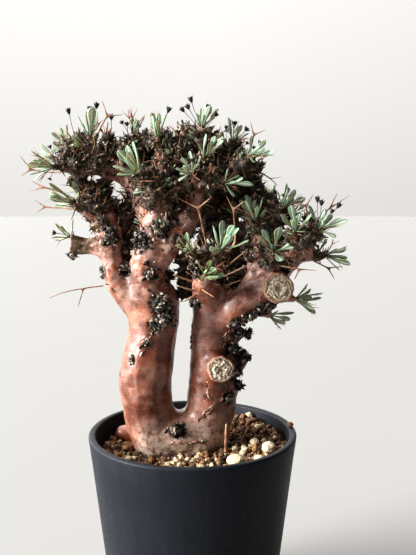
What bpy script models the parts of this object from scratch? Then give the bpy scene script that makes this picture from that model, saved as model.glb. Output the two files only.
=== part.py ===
"""Potted succulent: a two-trunked caudiciform plant in a plain tapered pot.

Metres, +Z up, origin at the middle of the pot's flat underside.
The plant's own tables are in millimetres from its foot, the point where the
pot's axis meets the soil.
"""

import math

import bmesh
import bpy
from mathutils import Matrix, Vector, noise

MM = 0.001

# --- pot -------------------------------------------------------------------
POT_RIM_RADIUS = 0.060
POT_HEIGHT = 0.115
POT_TAPER = math.radians(6.8)
POT_WALL = 0.004
POT_FLOOR = 0.004
LIP_ROUNDING = 0.0014
FOOT_ROUNDING = 0.0015
DRAIN_HOLES = 4
DRAIN_HOLE_RADIUS = 0.0045
DRAIN_RING_RADIUS = 0.024

# --- soil and what lies on it ----------------------------------------------
SOIL_DROP = 0.010  # from the rim down to the soil at the plant's foot
SOIL_RISE_BACK = 0.060  # height gained per unit of Y
SOIL_RISE_RIGHT = 0.045  # height gained per unit of X
SOIL_BUMP = 0.0012
SOIL_BUMP_SPREAD = 0.016
STONE_LENGTH = 0.0105
STONE_WIDTH_SHARE = 0.80
STONE_HEIGHT_SHARE = 0.62
STONE_LUMPINESS = 0.22
STONE_MARGIN_SHARE = 0.62  # of its length, from its middle to the soil's edge

# --- plant -----------------------------------------------------------------
STEM_VOXEL = 0.0016
STEM_TRIANGLE_SHARE = 0.06
LEAF_LENGTH = 0.0125
LEAF_WIDTH = 0.0054
LEAF_THICKNESS = 0.0017
LEAF_LIFT = 0.12  # how far a leaf curls back towards its shoot's line, per unit of length
# how far along, width share, thickness share
LEAF_SECTIONS = ((0.30, 0.42, 1.25), (0.74, 1.0, 1.0), (1.0, 0.42, 0.6))
BUD_RADIUS = 0.0030
BUD_SIDES = 6
BUD_SEAT = 0.80  # of the shoot's tip radius, from the tip's middle to the bud's
INNER_OPENING = 0.72  # share of a shoot's opening for its inner leaves
OUTER_OPENING = 1.1
BARE_FOOT_RADIUS = 4.6  # plant table's millimetres, as are the next three
BARE_TIP_RADIUS = 3.6
LEAFY_FOOT_EXTRA = 1.0
KNUCKLE_RADIUS = 6.5
KNUCKLE_BEARING = math.radians(158)
KNUCKLE_CLEARANCE = 3.0  # millimetres from the knuckle to the pot's wall
SPINE_RADIUS = 0.0007
SPINE_FOOT_SHARE, SPINE_FORK_SHARE = 1.25, 0.90  # of the radius, at the foot and at the fork
PRONG_FOOT_SHARE, PRONG_TIP_SHARE = 0.75, 0.45
TWIG_LENGTH = 0.017
TWIG_RADIUS = 0.0011
TWIG_TIP_SHARE = 0.7
TWIG_LEAN = 0.0008  # how far its top is to the right of its foot

# --- clearances ------------------------------------------------------------
GAP = 0.0003  # between pieces that touch
CUT_GAP = 0.0006  # around the stem where another piece is cut to fit it
CUT_WELD = 0.00004  # edges shorter than this, left by a cut, are closed up
FLAT_ANGLE = math.radians(6)  # faces this close to level with each other become one

COLOURS = {  # base colour, roughness
    "pot": ((0.032, 0.034, 0.038), 0.55),
    "soil": ((0.150, 0.085, 0.045), 0.95),
    "bark": ((0.300, 0.130, 0.085), 0.38),
    "leaf": ((0.230, 0.370, 0.270), 0.50),
    "spine": ((0.350, 0.170, 0.090), 0.60),
    "stone": ((0.680, 0.560, 0.400), 0.90),
}

# Main limbs: how each ends, "round" for a living tip or "cut" for a sawn end, then its
# points (x, y, z, radius).
LIMBS = (
    ("round",
      (-11, 3, -26, 8), (-14, 2, -14, 12), (-18, 2, -2, 15.2), (-22.5, 0, 11, 15.6),
      (-26, -1, 23, 15.2), (-27, -2, 34, 15.5), (-27, -2, 44, 16.2), (-25, -2, 55, 15.6),
      (-22.5, -2, 67, 14.6), (-21.5, -2, 77, 15), (-23, -1, 88, 15.5), (-26, 0, 95, 13)),
    ("round",
      (-3, 3, -24, 8), (-1, 3, -12, 12), (1, 3, -2, 14), (7.5, 2, 11, 15), (10.5, 2, 22, 15),
      (10.5, 2, 33, 14.4), (10, 2, 44, 12.6), (9.5, 2, 55, 11.4), (9.5, 2, 66, 11.2),
      (10.5, 2, 77, 11), (11, 1, 88, 11.5), (12, 4, 96, 9)),
    # the swelling that joins both trunks at the soil
    ("round",
      (-19, -1, 8, 13), (-8, -1, 8.5, 13.6), (4, 0, 9, 13)),
    # left horn and the limb it carries
    ("round",
      (-30, 0, 86, 12), (-39, -2, 94, 9.5), (-44, -4, 103, 7), (-46, -4, 112, 6.4),
      (-53, -3, 117, 5.6), (-61, -1, 117, 5.2), (-67, 0, 115, 4.2)),
    # middle limb, upright and then forward
    ("round",
      (-25, -3, 88, 12.5), (-26, -6, 100, 10.5), (-24, -8, 112, 9.8), (-21, -8, 124, 9),
      (-18, -7, 134, 8), (-17, -10, 142, 6.6), (-19, -18, 147, 5.4)),
    # grey limb that leans right and carries the top of the crown
    ("round",
      (-22, -7, 108, 8.5), (-13, -9, 118, 8), (-6, -9, 127, 7.4), (0, -6, 136, 7),
      (2, -3, 147, 6.4), (2, -1, 160, 5.6), (3, 0, 174, 4.6)),
    # right trunk carried on, up and back
    ("round",
      (12, 3, 88, 11), (15, 9, 100, 10), (17, 14, 112, 9), (14, 17, 126, 8.2), (10, 17, 140, 7.6),
      (10, 15, 152, 7), (14, 10, 161, 5.6), (22, 3, 165, 4.6)),
    # knob on the front of the right trunk
    ("round",
      (9, -1, 86, 9.5), (7, -9, 94, 8.4), (6, -16, 101, 7)),
    # right limb, ending in the large sawn face
    ("cut",
      (11, 1, 72, 9), (19, -2, 77, 9.4), (28, -4, 86, 9.6), (36, -5, 93, 9.6), (43, -8, 96, 9.6),
      (47, -15, 95.5, 9.2), (48, -22, 95, 8.4)),
    # what rises from the right limb
    ("round",
      (37, -4, 95, 7.6), (37, -2, 107, 6.8), (37, 0, 117, 6.2), (41, 1, 126, 5.4),
      (47, 0, 133, 4.6)),
    ("round",
      (44, -6, 98, 7.4), (52, -4, 107, 6.8), (59, -4, 114, 6), (65, -7, 121, 5)),
    ("round",
      (30, -2, 80, 6), (39, 0, 83, 5.4), (49, -2, 90, 5)),
    # sawn stub low on the right trunk
    ("cut",
      (11, 0, 48, 9), (14, -7, 49, 8.6), (15, -13, 50, 7.6)),
    # crusted outgrowths on the right trunk's right side
    ("round",
      (13, 4, 30, 9), (21, 4, 32, 5), (26, 3, 35, 3.2)),
    ("round",
      (14, 4, 42, 9), (23, 4, 46, 6.4), (30, 4, 51, 4)),
    ("round",
      (13, 4, 56, 8), (20, 3, 58, 5), (25, 3, 56, 3)),
    ("round",
      (13, 3, 60, 8), (22, 2, 65, 4.6), (32, 2, 67, 2.8)),
    # left upper arm
    ("round",
      (-18, -6, 134, 7.5), (-25, 1, 146, 6.8), (-35, 3, 154, 6.2), (-46, 2, 160, 5.6),
      (-57, 0, 161, 5.2), (-68, -2, 161, 4.2)),
    # left middle limb
    ("round",
      (-45, -4, 108, 6), (-44, -2, 120, 5.8), (-46, 0, 131, 5.4), (-53, 0, 136, 4.8),
      (-61, -2, 137, 4)),
    ("round",
      (-46, 0, 129, 5.4), (-50, 5, 141, 5), (-53, 8, 151, 4.4)),
    # crown, left of the middle
    ("round",
      (-20, -7, 126, 8), (-27, 4, 138, 7), (-31, 10, 150, 6.4), (-30, 12, 162, 5.6),
      (-27, 12, 173, 4.6)),
    ("round",
      (-17, -8, 138, 7), (-14, -3, 150, 6.4), (-14, 0, 161, 5.8), (-16, -1, 170, 4.8)),
    # crown, right of the middle
    ("round",
      (12, 12, 158, 6), (22, 8, 160, 5.2), (29, 2, 161, 4.6)),
    ("round",
      (11, 17, 136, 7), (20, 21, 142, 6), (30, 23, 148, 5), (35, 22, 156, 4.2)),
    ("round",
      (2, -4, 144, 6.4), (4, -14, 150, 5.2), (4, -22, 153, 4.4)),
    # back of the crown
    ("round",
      (-22, 3, 84, 12), (-22, 15, 96, 10), (-24, 27, 107, 8.4), (-28, 37, 119, 7),
      (-32, 43, 132, 6), (-36, 45, 145, 4.8)),
    ("round",
      (-23, 24, 104, 7.6), (-14, 36, 114, 6.6), (-6, 45, 125, 5.6), (0, 51, 136, 4.6)),
    ("round",
      (12, 4, 86, 10), (17, 15, 97, 8.6), (25, 26, 106, 7.4), (33, 34, 115, 6.2),
      (39, 40, 126, 5)),
    ("round",
      (16, 16, 100, 8), (12, 29, 112, 6.8), (12, 39, 125, 6), (14, 45, 139, 5.2),
      (14, 45, 153, 4.4)),
    ("round",
      (-44, -3, 106, 6.4), (-48, 11, 114, 5.8), (-54, 21, 123, 5.2), (-60, 27, 132, 4.2)),
    ("round",
      (25, 26, 106, 6.8), (38, 28, 107, 5.6), (50, 28, 110, 4.8), (56, 27, 113, 4.2)),
    ("round",
      (-30, 12, 156, 5.4), (-27, 25, 160, 5), (-23, 34, 165, 4.2)),
)


# Bare crowded shoots that fill the crown: foot (x, y, z), tip (x, y, z).
BARE_SHOOTS = (
    ((-46, 2, 160), (-45, 4, 176)),
    ((-60, 0, 161), (-65, 1, 175)),
    ((-36, 4, 154), (-47, 12, 168)),
    ((-30, 10, 150), (-38, -6, 164)),
    ((-29, 12, 164), (-22, 4, 177)),
    ((-14, -2, 156), (-6, -10, 170)),
    ((-14, 0, 162), (-8, 6, 178)),
    ((3, 0, 168), (-3, 8, 180)),
    ((3, -2, 164), (13, -4, 178)),
    ((10, 14, 154), (6, 20, 172)),
    ((22, 7, 160), (24, 10, 172)),
    ((30, 2, 160), (37, 4, 160)),
    ((17, 14, 114), (28, 4, 124)),
    ((14, 16, 124), (25, -2, 136)),
    ((20, 20, 142), (27, 6, 148)),
    ((41, 1, 124), (34, 12, 134)),
    ((47, 0, 130), (57, 4, 136)),
    ((58, -4, 112), (63, 8, 124)),
    ((-46, 0, 126), (-58, 8, 128)),
    ((-50, 5, 140), (-62, 2, 148)),
    ((-32, 42, 130), (-20, 50, 140)),
    ((-24, 28, 108), (-38, 34, 116)),
    ((12, 40, 126), (24, 46, 134)),
    ((38, 38, 124), (34, 26, 136)),
    ((-48, 11, 114), (-46, 26, 122)),
)

# Leafy shoots: foot, tip, tip radius, number of leaves, leaf length share, opening in degrees.
LEAFY_SHOOTS = (
    ((-57, 0, 161), (-56, -3, 176), 4.2, 7, 1.00, 46),
    ((-66, -2, 161), (-75, -8, 161), 3.4, 5, 0.90, 50),
    ((-19, -18, 147), (-26, -30, 156), 4.6, 7, 1.20, 40),
    ((-16, -1, 166), (-18, -9, 176), 4.0, 6, 0.80, 38),
    ((3, 0, 170), (5, -2, 181), 4.0, 6, 0.85, 40),
    ((4, -14, 150), (7, -26, 165), 3.8, 5, 0.75, 46),
    ((15, 8, 160), (22, 5, 174), 4.0, 5, 0.75, 42),
    ((27, 3, 160), (32, -8, 166), 3.8, 6, 0.80, 44),
    ((4, -20, 152), (17, -29, 152), 3.6, 5, 0.70, 56),
    ((4, -22, 152), (1, -31, 157), 3.6, 5, 0.70, 46),
    ((6, -15, 100), (15, -32, 118), 4.0, 6, 1.05, 42),
    ((6, -16, 101), (0, -33, 116), 4.0, 6, 0.75, 50),
    ((7, -12, 97), (8, -30, 103), 3.8, 5, 0.80, 58),
    ((43, -6, 100), (44, -22, 114), 4.0, 6, 0.95, 42),
    ((46, 0, 131), (50, -6, 138), 3.8, 6, 0.90, 40),
    ((38, -2, 118), (35, -13, 133), 3.4, 4, 0.75, 38),
    ((58, -4, 112), (56, -18, 127), 3.4, 5, 0.80, 40),
    ((63, -6, 118), (68, -14, 126), 4.4, 7, 1.10, 52),
    ((59, -4, 113), (74, -5, 112), 3.6, 6, 0.90, 50),
    ((47, -5, 90), (57, -8, 88), 3.2, 4, 0.80, 42),
    ((36, 0, 82), (44, 2, 77), 3.0, 3, 0.70, 36),
    ((-60, -1, 117), (-67, -4, 122), 3.2, 4, 0.70, 40),
    ((-56, -2, 136), (-66, -6, 141), 3.4, 4, 0.75, 40),
    ((-66, -2, 161), (-71, 4, 174), 3.4, 4, 0.60, 40),
    ((-37, 4, 156), (-33, 2, 178), 4.0, 6, 0.70, 42),
    ((-67, -2, 161), (-77, 6, 165), 3.0, 4, 0.60, 44),
    ((-36, 44, 143), (-41, 51, 154), 4.0, 7, 0.90, 48),
    ((0, 50, 134), (3, 58, 146), 4.0, 6, 0.90, 48),
    ((39, 40, 124), (46, 47, 139), 4.0, 7, 0.90, 48),
    ((14, 45, 151), (13, 44, 166), 4.0, 6, 0.85, 46),
    ((-60, 27, 131), (-67, 34, 142), 3.8, 6, 0.90, 46),
    ((55, 27, 112), (66, 28, 119), 3.8, 6, 0.90, 48),
    ((-23, 33, 164), (-21, 41, 173), 4.0, 6, 0.85, 46),
)

# Dry forked flower stalks: the way from the shoot to the fork, then the prongs.
SPINES = (
    (((-40, -2, 96), (-50, -4, 95), (-61, -6, 94)), ((-72, -8, 92), (-80, -9, 88.5)), ((-64, -8, 83),)),
    (((-58, 1, 137), (-70, 5, 138), (-84, 6, 139)), ((-90, 6, 143),), ((-91, 7, 135),)),
    (((-57, 6, 130), (-70, 10, 146), (-84, 8, 150)), ((-93, 9, 154),), ((-95, 10, 148),)),
    (((-66, 2, 160), (-78, 5, 158), (-91, 4, 160)), ((-97, 3, 168),), ((-97, 2, 156),)),
    (((-57, 2, 168), (-52, 7, 184), (-48, 8, 190)), ((-51, 8, 199),), ((-39, 9, 191),)),
    (((8, -14, 104), (8, -30, 120), (4, -40, 139)), ((-6, -42, 144),), ((11, -42, 145),)),
    (((12, -22, 108), (24, -22, 120), (22, -29, 138)), ((18, -30, 146),), ((28, -31, 143),)),
    (((64, -8, 119), (63, -16, 131), (61, -22, 140)), ((52, -25, 142),), ((65, -23, 147),)),
    (((62, -2, 112), (74, 6, 106), (78, 6, 104)), ((87, 6, 105),), ((82, 5, 97),)),
    (((44, -12, 108), (50, -26, 108), (57, -28, 107)), ((67, -28, 106),), ((54, -30, 101),)),
    (((60, 2, 120), (70, 6, 131), (78, 6, 138)), ((83, 6, 148),), ((90, 7, 146),)),
    (((27, 6, 159), (33, 12, 172), (35, 13, 180)), ((33, 14, 188),), ((42, 12, 183),)),
    (((-28, 12, 172), (-31, 14, 182), (-32, 14, 186)), ((-36, 15, 193),), ((-27, 15, 192),)),
)

# Pumice grains on the soil: bearing in degrees from +X, share of the soil's radius, size share.
STONES = (
    (-20, 0.84, 1.00),
    (-38, 0.86, 0.85),
    (-52, 0.72, 1.10),
    (-72, 0.86, 0.80),
    (-92, 0.80, 0.75),
    (-114, 0.82, 0.85),
    (-6, 0.66, 0.70),
    (24, 0.80, 0.60),
    (98, 0.78, 0.90),
)
TWIG_BEARING = math.radians(-32.5)
TWIG_REACH = 0.41  # share of the soil's radius

PLANT_FOOT_Z = POT_HEIGHT - SOIL_DROP


def inner_radius(z):
    """The pot's inner wall at height z."""
    return POT_RIM_RADIUS - POT_WALL - (POT_HEIGHT - z) * math.tan(POT_TAPER)


def soil_radius(z):
    return inner_radius(z) - GAP


def soil_height(x, y):
    """The soil's surface: higher at the back and right, with soft bumps."""
    bump = noise.noise(Vector((x, y, 0.0)) / SOIL_BUMP_SPREAD) * SOIL_BUMP
    return PLANT_FOOT_Z + SOIL_RISE_RIGHT * x + SOIL_RISE_BACK * y + bump


def foot(point):
    """A plant table's millimetres as a place in the pot."""
    x, y, z = point[:3]
    return Vector((x * MM, y * MM, z * MM + PLANT_FOOT_Z))


# --- objects and materials -------------------------------------------------
def clear_scene():
    for old in list(bpy.data.objects):
        bpy.data.objects.remove(old, do_unlink=True)


def new_collection(name):
    collection = bpy.data.collections.new(name)
    bpy.context.scene.collection.children.link(collection)
    return collection


def new_material(name):
    colour, roughness = COLOURS[name]
    material = bpy.data.materials.new(name)
    material.use_nodes = True
    shader = material.node_tree.nodes["Principled BSDF"]
    shader.inputs["Base Color"].default_value = (*colour, 1.0)
    shader.inputs["Roughness"].default_value = roughness
    shader.inputs["Metallic"].default_value = 0.0
    return material


def add_object(name, mesh, collection, material=None):
    piece = bpy.data.objects.new(name, mesh)
    collection.objects.link(piece)
    if material is not None:
        mesh.materials.clear()
        mesh.materials.append(material)
    return piece


def add_cutter(name, mesh, cutters):
    cutter = add_object(name, mesh, cutters)
    cutter.hide_render = True
    cutter.display_type = "WIRE"
    return cutter


def boolean(piece, cutter, operation, solver="EXACT"):
    modifier = piece.modifiers.new(operation.lower(), "BOOLEAN")
    modifier.operation = operation
    modifier.solver = solver
    modifier.object = cutter


def evaluated_mesh(piece):
    """A new mesh with the piece's modifiers in it."""
    depsgraph = bpy.context.evaluated_depsgraph_get()
    return bpy.data.meshes.new_from_object(piece.evaluated_get(depsgraph))


def finished_mesh(name, build):
    """A mesh filled by build, which is given an empty bmesh."""
    bm = bmesh.new()
    build(bm)
    mesh = bpy.data.meshes.new(name)
    bm.to_mesh(mesh)
    bm.free()
    return mesh


def shade_round(mesh, sharp_from=math.radians(40)):
    mesh.shade_smooth()
    mesh.set_sharp_from_angle(angle=sharp_from)


def fitted(mesh, cutter, cutters):
    """The mesh less the cutter, without the slivers that the cut leaves loose."""
    body = add_cutter("fitting", mesh, cutters)
    boolean(body, cutter, "DIFFERENCE")
    cut = evaluated_mesh(body)
    bpy.data.objects.remove(body, do_unlink=True)
    keep_largest(cut)
    return cut


def keep_largest(mesh):
    bm = bmesh.new()
    bm.from_mesh(mesh)
    islands = []
    left = set(bm.verts)
    while left:
        seed = left.pop()
        island = {seed}
        front = [seed]
        while front:
            for edge in front.pop().link_edges:
                for vertex in edge.verts:
                    if vertex in left:
                        left.discard(vertex)
                        island.add(vertex)
                        front.append(vertex)
        islands.append(island)
    islands.sort(key=len, reverse=True)
    loose = [vertex for island in islands[1:] for vertex in island]
    bmesh.ops.delete(bm, geom=loose, context="VERTS")
    bmesh.ops.dissolve_degenerate(bm, edges=bm.edges, dist=CUT_WELD)
    bmesh.ops.dissolve_limit(bm, angle_limit=FLAT_ANGLE, verts=bm.verts, edges=bm.edges)
    bmesh.ops.triangulate(bm, faces=bm.faces)
    bm.to_mesh(mesh)
    bm.free()


# --- pot -------------------------------------------------------------------
def turned(name, profile, steps, collection, material=None):
    """A solid turned about Z from a profile that runs down its outer side."""
    mesh = bpy.data.meshes.new(name)
    edges = [(i, i + 1) for i in range(len(profile) - 1)]
    mesh.from_pydata([(r, 0.0, z) for r, z in profile], edges, [])
    piece = add_object(name, mesh, collection, material)
    screw = piece.modifiers.new("turn", "SCREW")
    screw.steps = steps
    screw.render_steps = steps
    screw.use_merge_vertices = True
    screw.merge_threshold = 0.00005
    return piece


def rounded_corner(centre, radius, start, end, points=4):
    """Points of an arc in the profile plane, angles in degrees."""
    arc = []
    for i in range(points):
        angle = math.radians(start + (end - start) * i / (points - 1))
        arc.append((centre[0] + radius * math.cos(angle), centre[1] + radius * math.sin(angle)))
    return arc


def build_pot(collection, cutters, material):
    lip_z = POT_HEIGHT - LIP_ROUNDING
    outer_lip = (POT_RIM_RADIUS - LIP_ROUNDING, lip_z)
    inner_lip = (inner_radius(POT_HEIGHT) + LIP_ROUNDING, lip_z)
    base_radius = POT_RIM_RADIUS - POT_HEIGHT * math.tan(POT_TAPER)
    foot_centre = (base_radius - FOOT_ROUNDING, FOOT_ROUNDING)
    profile = [(inner_radius(POT_FLOOR), POT_FLOOR)]
    profile += rounded_corner(inner_lip, LIP_ROUNDING, 180, 90)
    profile += rounded_corner(outer_lip, LIP_ROUNDING, 90, 0)
    profile += rounded_corner(foot_centre, FOOT_ROUNDING, 0, -90, 3)
    profile = [(0.0, POT_FLOOR), *profile, (0.0, 0.0)]
    pot = turned("pot", profile, 48, collection, material)
    for i in range(DRAIN_HOLES):
        angle = 2 * math.pi * (i + 0.5) / DRAIN_HOLES
        x, y = DRAIN_RING_RADIUS * math.cos(angle), DRAIN_RING_RADIUS * math.sin(angle)
        place = Matrix.Translation((x, y, POT_FLOOR / 2))
        mesh = finished_mesh("drain_cutter", lambda bm: bmesh.ops.create_cone(
            bm, cap_ends=True, segments=14, radius1=DRAIN_HOLE_RADIUS, radius2=DRAIN_HOLE_RADIUS,
            depth=POT_FLOOR * 3, matrix=place))
        boolean(pot, add_cutter(f"drain_cutter_{i + 1}", mesh, cutters), "DIFFERENCE")
    shade_round(pot.data)
    return pot


# --- stem ------------------------------------------------------------------
def limb_mesh(points, ending, cutters):
    """A round limb along a smooth line, thick as its points say."""
    curve = bpy.data.curves.new("limb", "CURVE")
    curve.dimensions = "3D"
    curve.bevel_depth = MM
    curve.bevel_resolution = 3
    curve.use_fill_caps = True
    curve.resolution_u = 5
    spline = curve.splines.new("BEZIER")
    spline.bezier_points.add(len(points) - 1)
    for knot, point in zip(spline.bezier_points, points):
        knot.co = foot(point)
        knot.radius = point[3]
        knot.handle_left_type = "AUTO"
        knot.handle_right_type = "AUTO"
    guide = add_object("limb", curve, cutters)
    mesh = evaluated_mesh(guide)
    bpy.data.objects.remove(guide, do_unlink=True)

    bm = bmesh.new()
    bm.from_mesh(mesh)
    bmesh.ops.remove_doubles(bm, verts=bm.verts, dist=0.00001)
    if ending == "round":
        end = Matrix.Translation(foot(points[-1]))
        bmesh.ops.create_icosphere(bm, subdivisions=2, radius=points[-1][3] * MM, matrix=end)
    bm.to_mesh(mesh)
    bm.free()
    return mesh


def root_knuckle():
    """The root that breaks the soil behind the left trunk, kept inside the pot."""
    reach = inner_radius(PLANT_FOOT_Z) / MM - KNUCKLE_RADIUS - KNUCKLE_CLEARANCE
    x, y = reach * math.cos(KNUCKLE_BEARING), reach * math.sin(KNUCKLE_BEARING)
    trunk = LIMBS[0][3]
    between = (x * 0.8, y, 0, KNUCKLE_RADIUS * 1.2)
    return ((*trunk[:2], -4, 11), between, (x, y, 1, KNUCKLE_RADIUS))


def build_stem(collection, cutters, material):
    limbs = [(ending, points) for ending, *points in LIMBS]
    limbs.append(("round", root_knuckle()))
    for start, tip in BARE_SHOOTS:
        limbs.append(("round", ((*start, BARE_FOOT_RADIUS), (*tip, BARE_TIP_RADIUS))))
    for start, tip, radius, *_ in LEAFY_SHOOTS:
        limbs.append(("round", ((*start, radius + LEAFY_FOOT_EXTRA), (*tip, radius))))
    bm = bmesh.new()
    for ending, points in limbs:
        mesh = limb_mesh(points, ending, cutters)
        bm.from_mesh(mesh)
        bpy.data.meshes.remove(mesh)
    mesh = bpy.data.meshes.new("stem")
    bm.to_mesh(mesh)
    bm.free()
    stem = add_object("stem", mesh, collection, material)
    remesh = stem.modifiers.new("grow together", "REMESH")
    remesh.mode = "VOXEL"
    remesh.voxel_size = STEM_VOXEL
    remesh.use_smooth_shade = True
    smooth = stem.modifiers.new("smooth", "SMOOTH")
    smooth.factor = 0.5
    smooth.iterations = 3
    decimate = stem.modifiers.new("fewer faces", "DECIMATE")
    decimate.ratio = STEM_TRIANGLE_SHARE
    return stem


def stem_clearance(stem, cutters):
    """The stem grown by a small clearance, which trims what touches it."""
    mesh = evaluated_mesh(stem)
    mesh.name = "stem_clearance"
    for vertex, normal in zip(mesh.vertices, [v.normal.copy() for v in mesh.vertices]):
        vertex.co += normal * CUT_GAP
    return add_cutter("stem_clearance", mesh, cutters)


# --- leaves ----------------------------------------------------------------
def grow_leaf(bm, face, opening, length):
    """Draw one face of the bud out into a spoon-shaped leaf, section by section."""
    root = face.calc_center_median()
    bearing = math.atan2(root.y, root.x)
    across = Vector((-math.sin(bearing), math.cos(bearing), 0))
    outward = Vector((math.cos(bearing), math.sin(bearing), 0)) * math.sin(opening)
    outward.z = math.cos(opening)
    upper = outward.cross(across)
    for along, width, thickness in LEAF_SECTIONS:
        middle = face.calc_center_median()
        face = bmesh.ops.extrude_discrete_faces(bm, faces=[face])["faces"][0]
        centre = root + outward * length * along + Vector((0, 0, LEAF_LIFT * length * along * along))
        for vertex in face.verts:
            side = math.copysign(width * LEAF_WIDTH / 2, (vertex.co - middle).dot(across))
            level = math.copysign(thickness * LEAF_THICKNESS / 2, (vertex.co - middle).dot(upper))
            vertex.co = centre + across * side + upper * level


def build_rosette(number, shoot, clearance, collection, cutters, material):
    """A bud on the shoot's tip, with its leaves in an inner and an outer whorl."""
    start, tip, radius, leaves, share, opening = shoot
    axis = (foot(tip) - foot(start)).normalized()
    seat = foot(tip) + axis * (radius * MM * BUD_SEAT)
    places = max(leaves, BUD_SIDES)

    def build(bm):
        bmesh.ops.create_uvsphere(bm, u_segments=places, v_segments=5, radius=BUD_RADIUS)
        quads = [f for f in bm.faces if len(f.verts) == 4]
        upper = [f for f in quads if f.calc_center_median().z > BUD_RADIUS * 0.3]
        middle = [f for f in quads if abs(f.calc_center_median().z) < BUD_RADIUS * 0.3]
        inner_whorl = sorted(upper, key=bearing_of)
        outer_whorl = sorted(middle, key=bearing_of)
        for i in range(leaves):
            inner = i % 2 == 0
            face = (inner_whorl if inner else outer_whorl)[i]
            spread = math.radians(opening) * (INNER_OPENING if inner else OUTER_OPENING)
            grow_leaf(bm, face, spread, LEAF_LENGTH * share)
        place = Matrix.Translation(seat) @ axis.to_track_quat("Z", "Y").to_matrix().to_4x4()
        bmesh.ops.transform(bm, matrix=place @ Matrix.Rotation(number, 4, "Z"), verts=bm.verts)

    name = f"leaf_rosette_{number:02d}"
    mesh = fitted(finished_mesh(name, build), clearance, cutters)
    mesh.name = name
    shade_round(mesh)
    return add_object(name, mesh, collection, material)


def bearing_of(face):
    middle = face.calc_center_median()
    return math.atan2(middle.y, middle.x)


# --- dry flower stalks -----------------------------------------------------
def build_spine(number, spine, clearance, collection, cutters, material):
    way, *prongs = spine
    places = [foot(point) for point in way]
    edges = [(i, i + 1) for i in range(len(places) - 1)]
    fork = len(places) - 1
    taper = (SPINE_FORK_SHARE - SPINE_FOOT_SHARE) / fork
    thickness = [SPINE_FOOT_SHARE + taper * i for i in range(len(places))]
    for prong in prongs:
        before = fork
        for i, point in enumerate(prong):
            places.append(foot(point))
            edges.append((before, len(places) - 1))
            along = (i + 1) / len(prong)
            thickness.append(PRONG_FOOT_SHARE + (PRONG_TIP_SHARE - PRONG_FOOT_SHARE) * along)
            before = len(places) - 1
    mesh = bpy.data.meshes.new("stalk")
    mesh.from_pydata(places, edges, [])
    guide = add_cutter("stalk", mesh, cutters)
    skin = guide.modifiers.new("thicken", "SKIN")
    skin.use_smooth_shade = True
    for corner, share in zip(mesh.skin_vertices[0].data, thickness):
        corner.radius = (SPINE_RADIUS * share, SPINE_RADIUS * share)
    mesh.skin_vertices[0].data[0].use_root = True
    thick = evaluated_mesh(guide)
    bpy.data.objects.remove(guide, do_unlink=True)
    final = fitted(thick, clearance, cutters)
    final.name = f"dry_flower_stalk_{number:02d}"
    return add_object(final.name, final, collection, material)


# --- soil, stones and twig -------------------------------------------------
def build_soil(collection, clearance, material, cutters):
    bottom = POT_FLOOR + GAP
    top = PLANT_FOOT_Z
    rings = 6
    profile = [(soil_radius(top) * (1 - i / rings), top) for i in range(rings)]
    profile = [(0.0, top), *reversed(profile), (soil_radius(bottom), bottom), (0.0, bottom)]
    guide = turned("soil", profile, 40, cutters)
    mesh = evaluated_mesh(guide)
    bpy.data.objects.remove(guide, do_unlink=True)
    for vertex in mesh.vertices:
        x, y, z = vertex.co
        if z < (top + bottom) / 2:
            continue
        height = soil_height(x, y)
        if math.hypot(x, y) > soil_radius(top) - GAP:
            slide = soil_radius(height) / soil_radius(top)
            x, y = x * slide, y * slide
        vertex.co = (x, y, height)
    mesh.name = "soil"
    soil = add_object("soil", mesh, collection, material)
    boolean(soil, clearance, "DIFFERENCE", solver="MANIFOLD")
    return soil


def build_stone(number, bearing, reach, share, collection, material):
    """A knobbly grain that rests on the soil."""
    length = STONE_LENGTH * share
    angle = math.radians(bearing)
    furthest = soil_radius(PLANT_FOOT_Z) - length * STONE_MARGIN_SHARE
    radius = min(soil_radius(PLANT_FOOT_Z) * reach, furthest)
    x, y = radius * math.cos(angle), radius * math.sin(angle)

    def build(bm):
        bmesh.ops.create_icosphere(bm, subdivisions=2, radius=length / 2)
        for vertex in bm.verts:
            lump = noise.noise(vertex.co.normalized() * 1.6 + Vector((number * 7.0, 0, 0)))
            vertex.co *= 1 + STONE_LUMPINESS * lump
            vertex.co.y *= STONE_WIDTH_SHARE
            vertex.co.z *= STONE_HEIGHT_SHARE
        bmesh.ops.rotate(bm, verts=bm.verts, matrix=Matrix.Rotation(number * 1.1, 3, "Z"))
        lift = max(soil_height(x + v.co.x, y + v.co.y) - v.co.z for v in bm.verts if v.co.z < 0)
        bmesh.ops.translate(bm, verts=bm.verts, vec=(x, y, lift + GAP))

    mesh = finished_mesh(f"pumice_stone_{number:02d}", build)
    mesh.shade_smooth()
    return add_object(mesh.name, mesh, collection, material)


def build_twig(collection, material):
    """A dry stick that stands on the soil and leans on nothing."""
    radius = soil_radius(PLANT_FOOT_Z) * TWIG_REACH
    x, y = radius * math.cos(TWIG_BEARING), radius * math.sin(TWIG_BEARING)
    ground = soil_height(x, y) + 3 * GAP

    def build(bm):
        bmesh.ops.create_cone(
            bm, cap_ends=True, segments=8, radius1=TWIG_RADIUS, radius2=TWIG_RADIUS * TWIG_TIP_SHARE,
            depth=TWIG_LENGTH, matrix=Matrix.Translation((x, y, ground + TWIG_LENGTH / 2)))
        for vertex in bm.verts:
            rise = (vertex.co.z - ground) / TWIG_LENGTH
            vertex.co.x += TWIG_LEAN * rise

    mesh = finished_mesh("dry_twig", build)
    shade_round(mesh)
    return add_object("dry_twig", mesh, collection, material)


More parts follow.
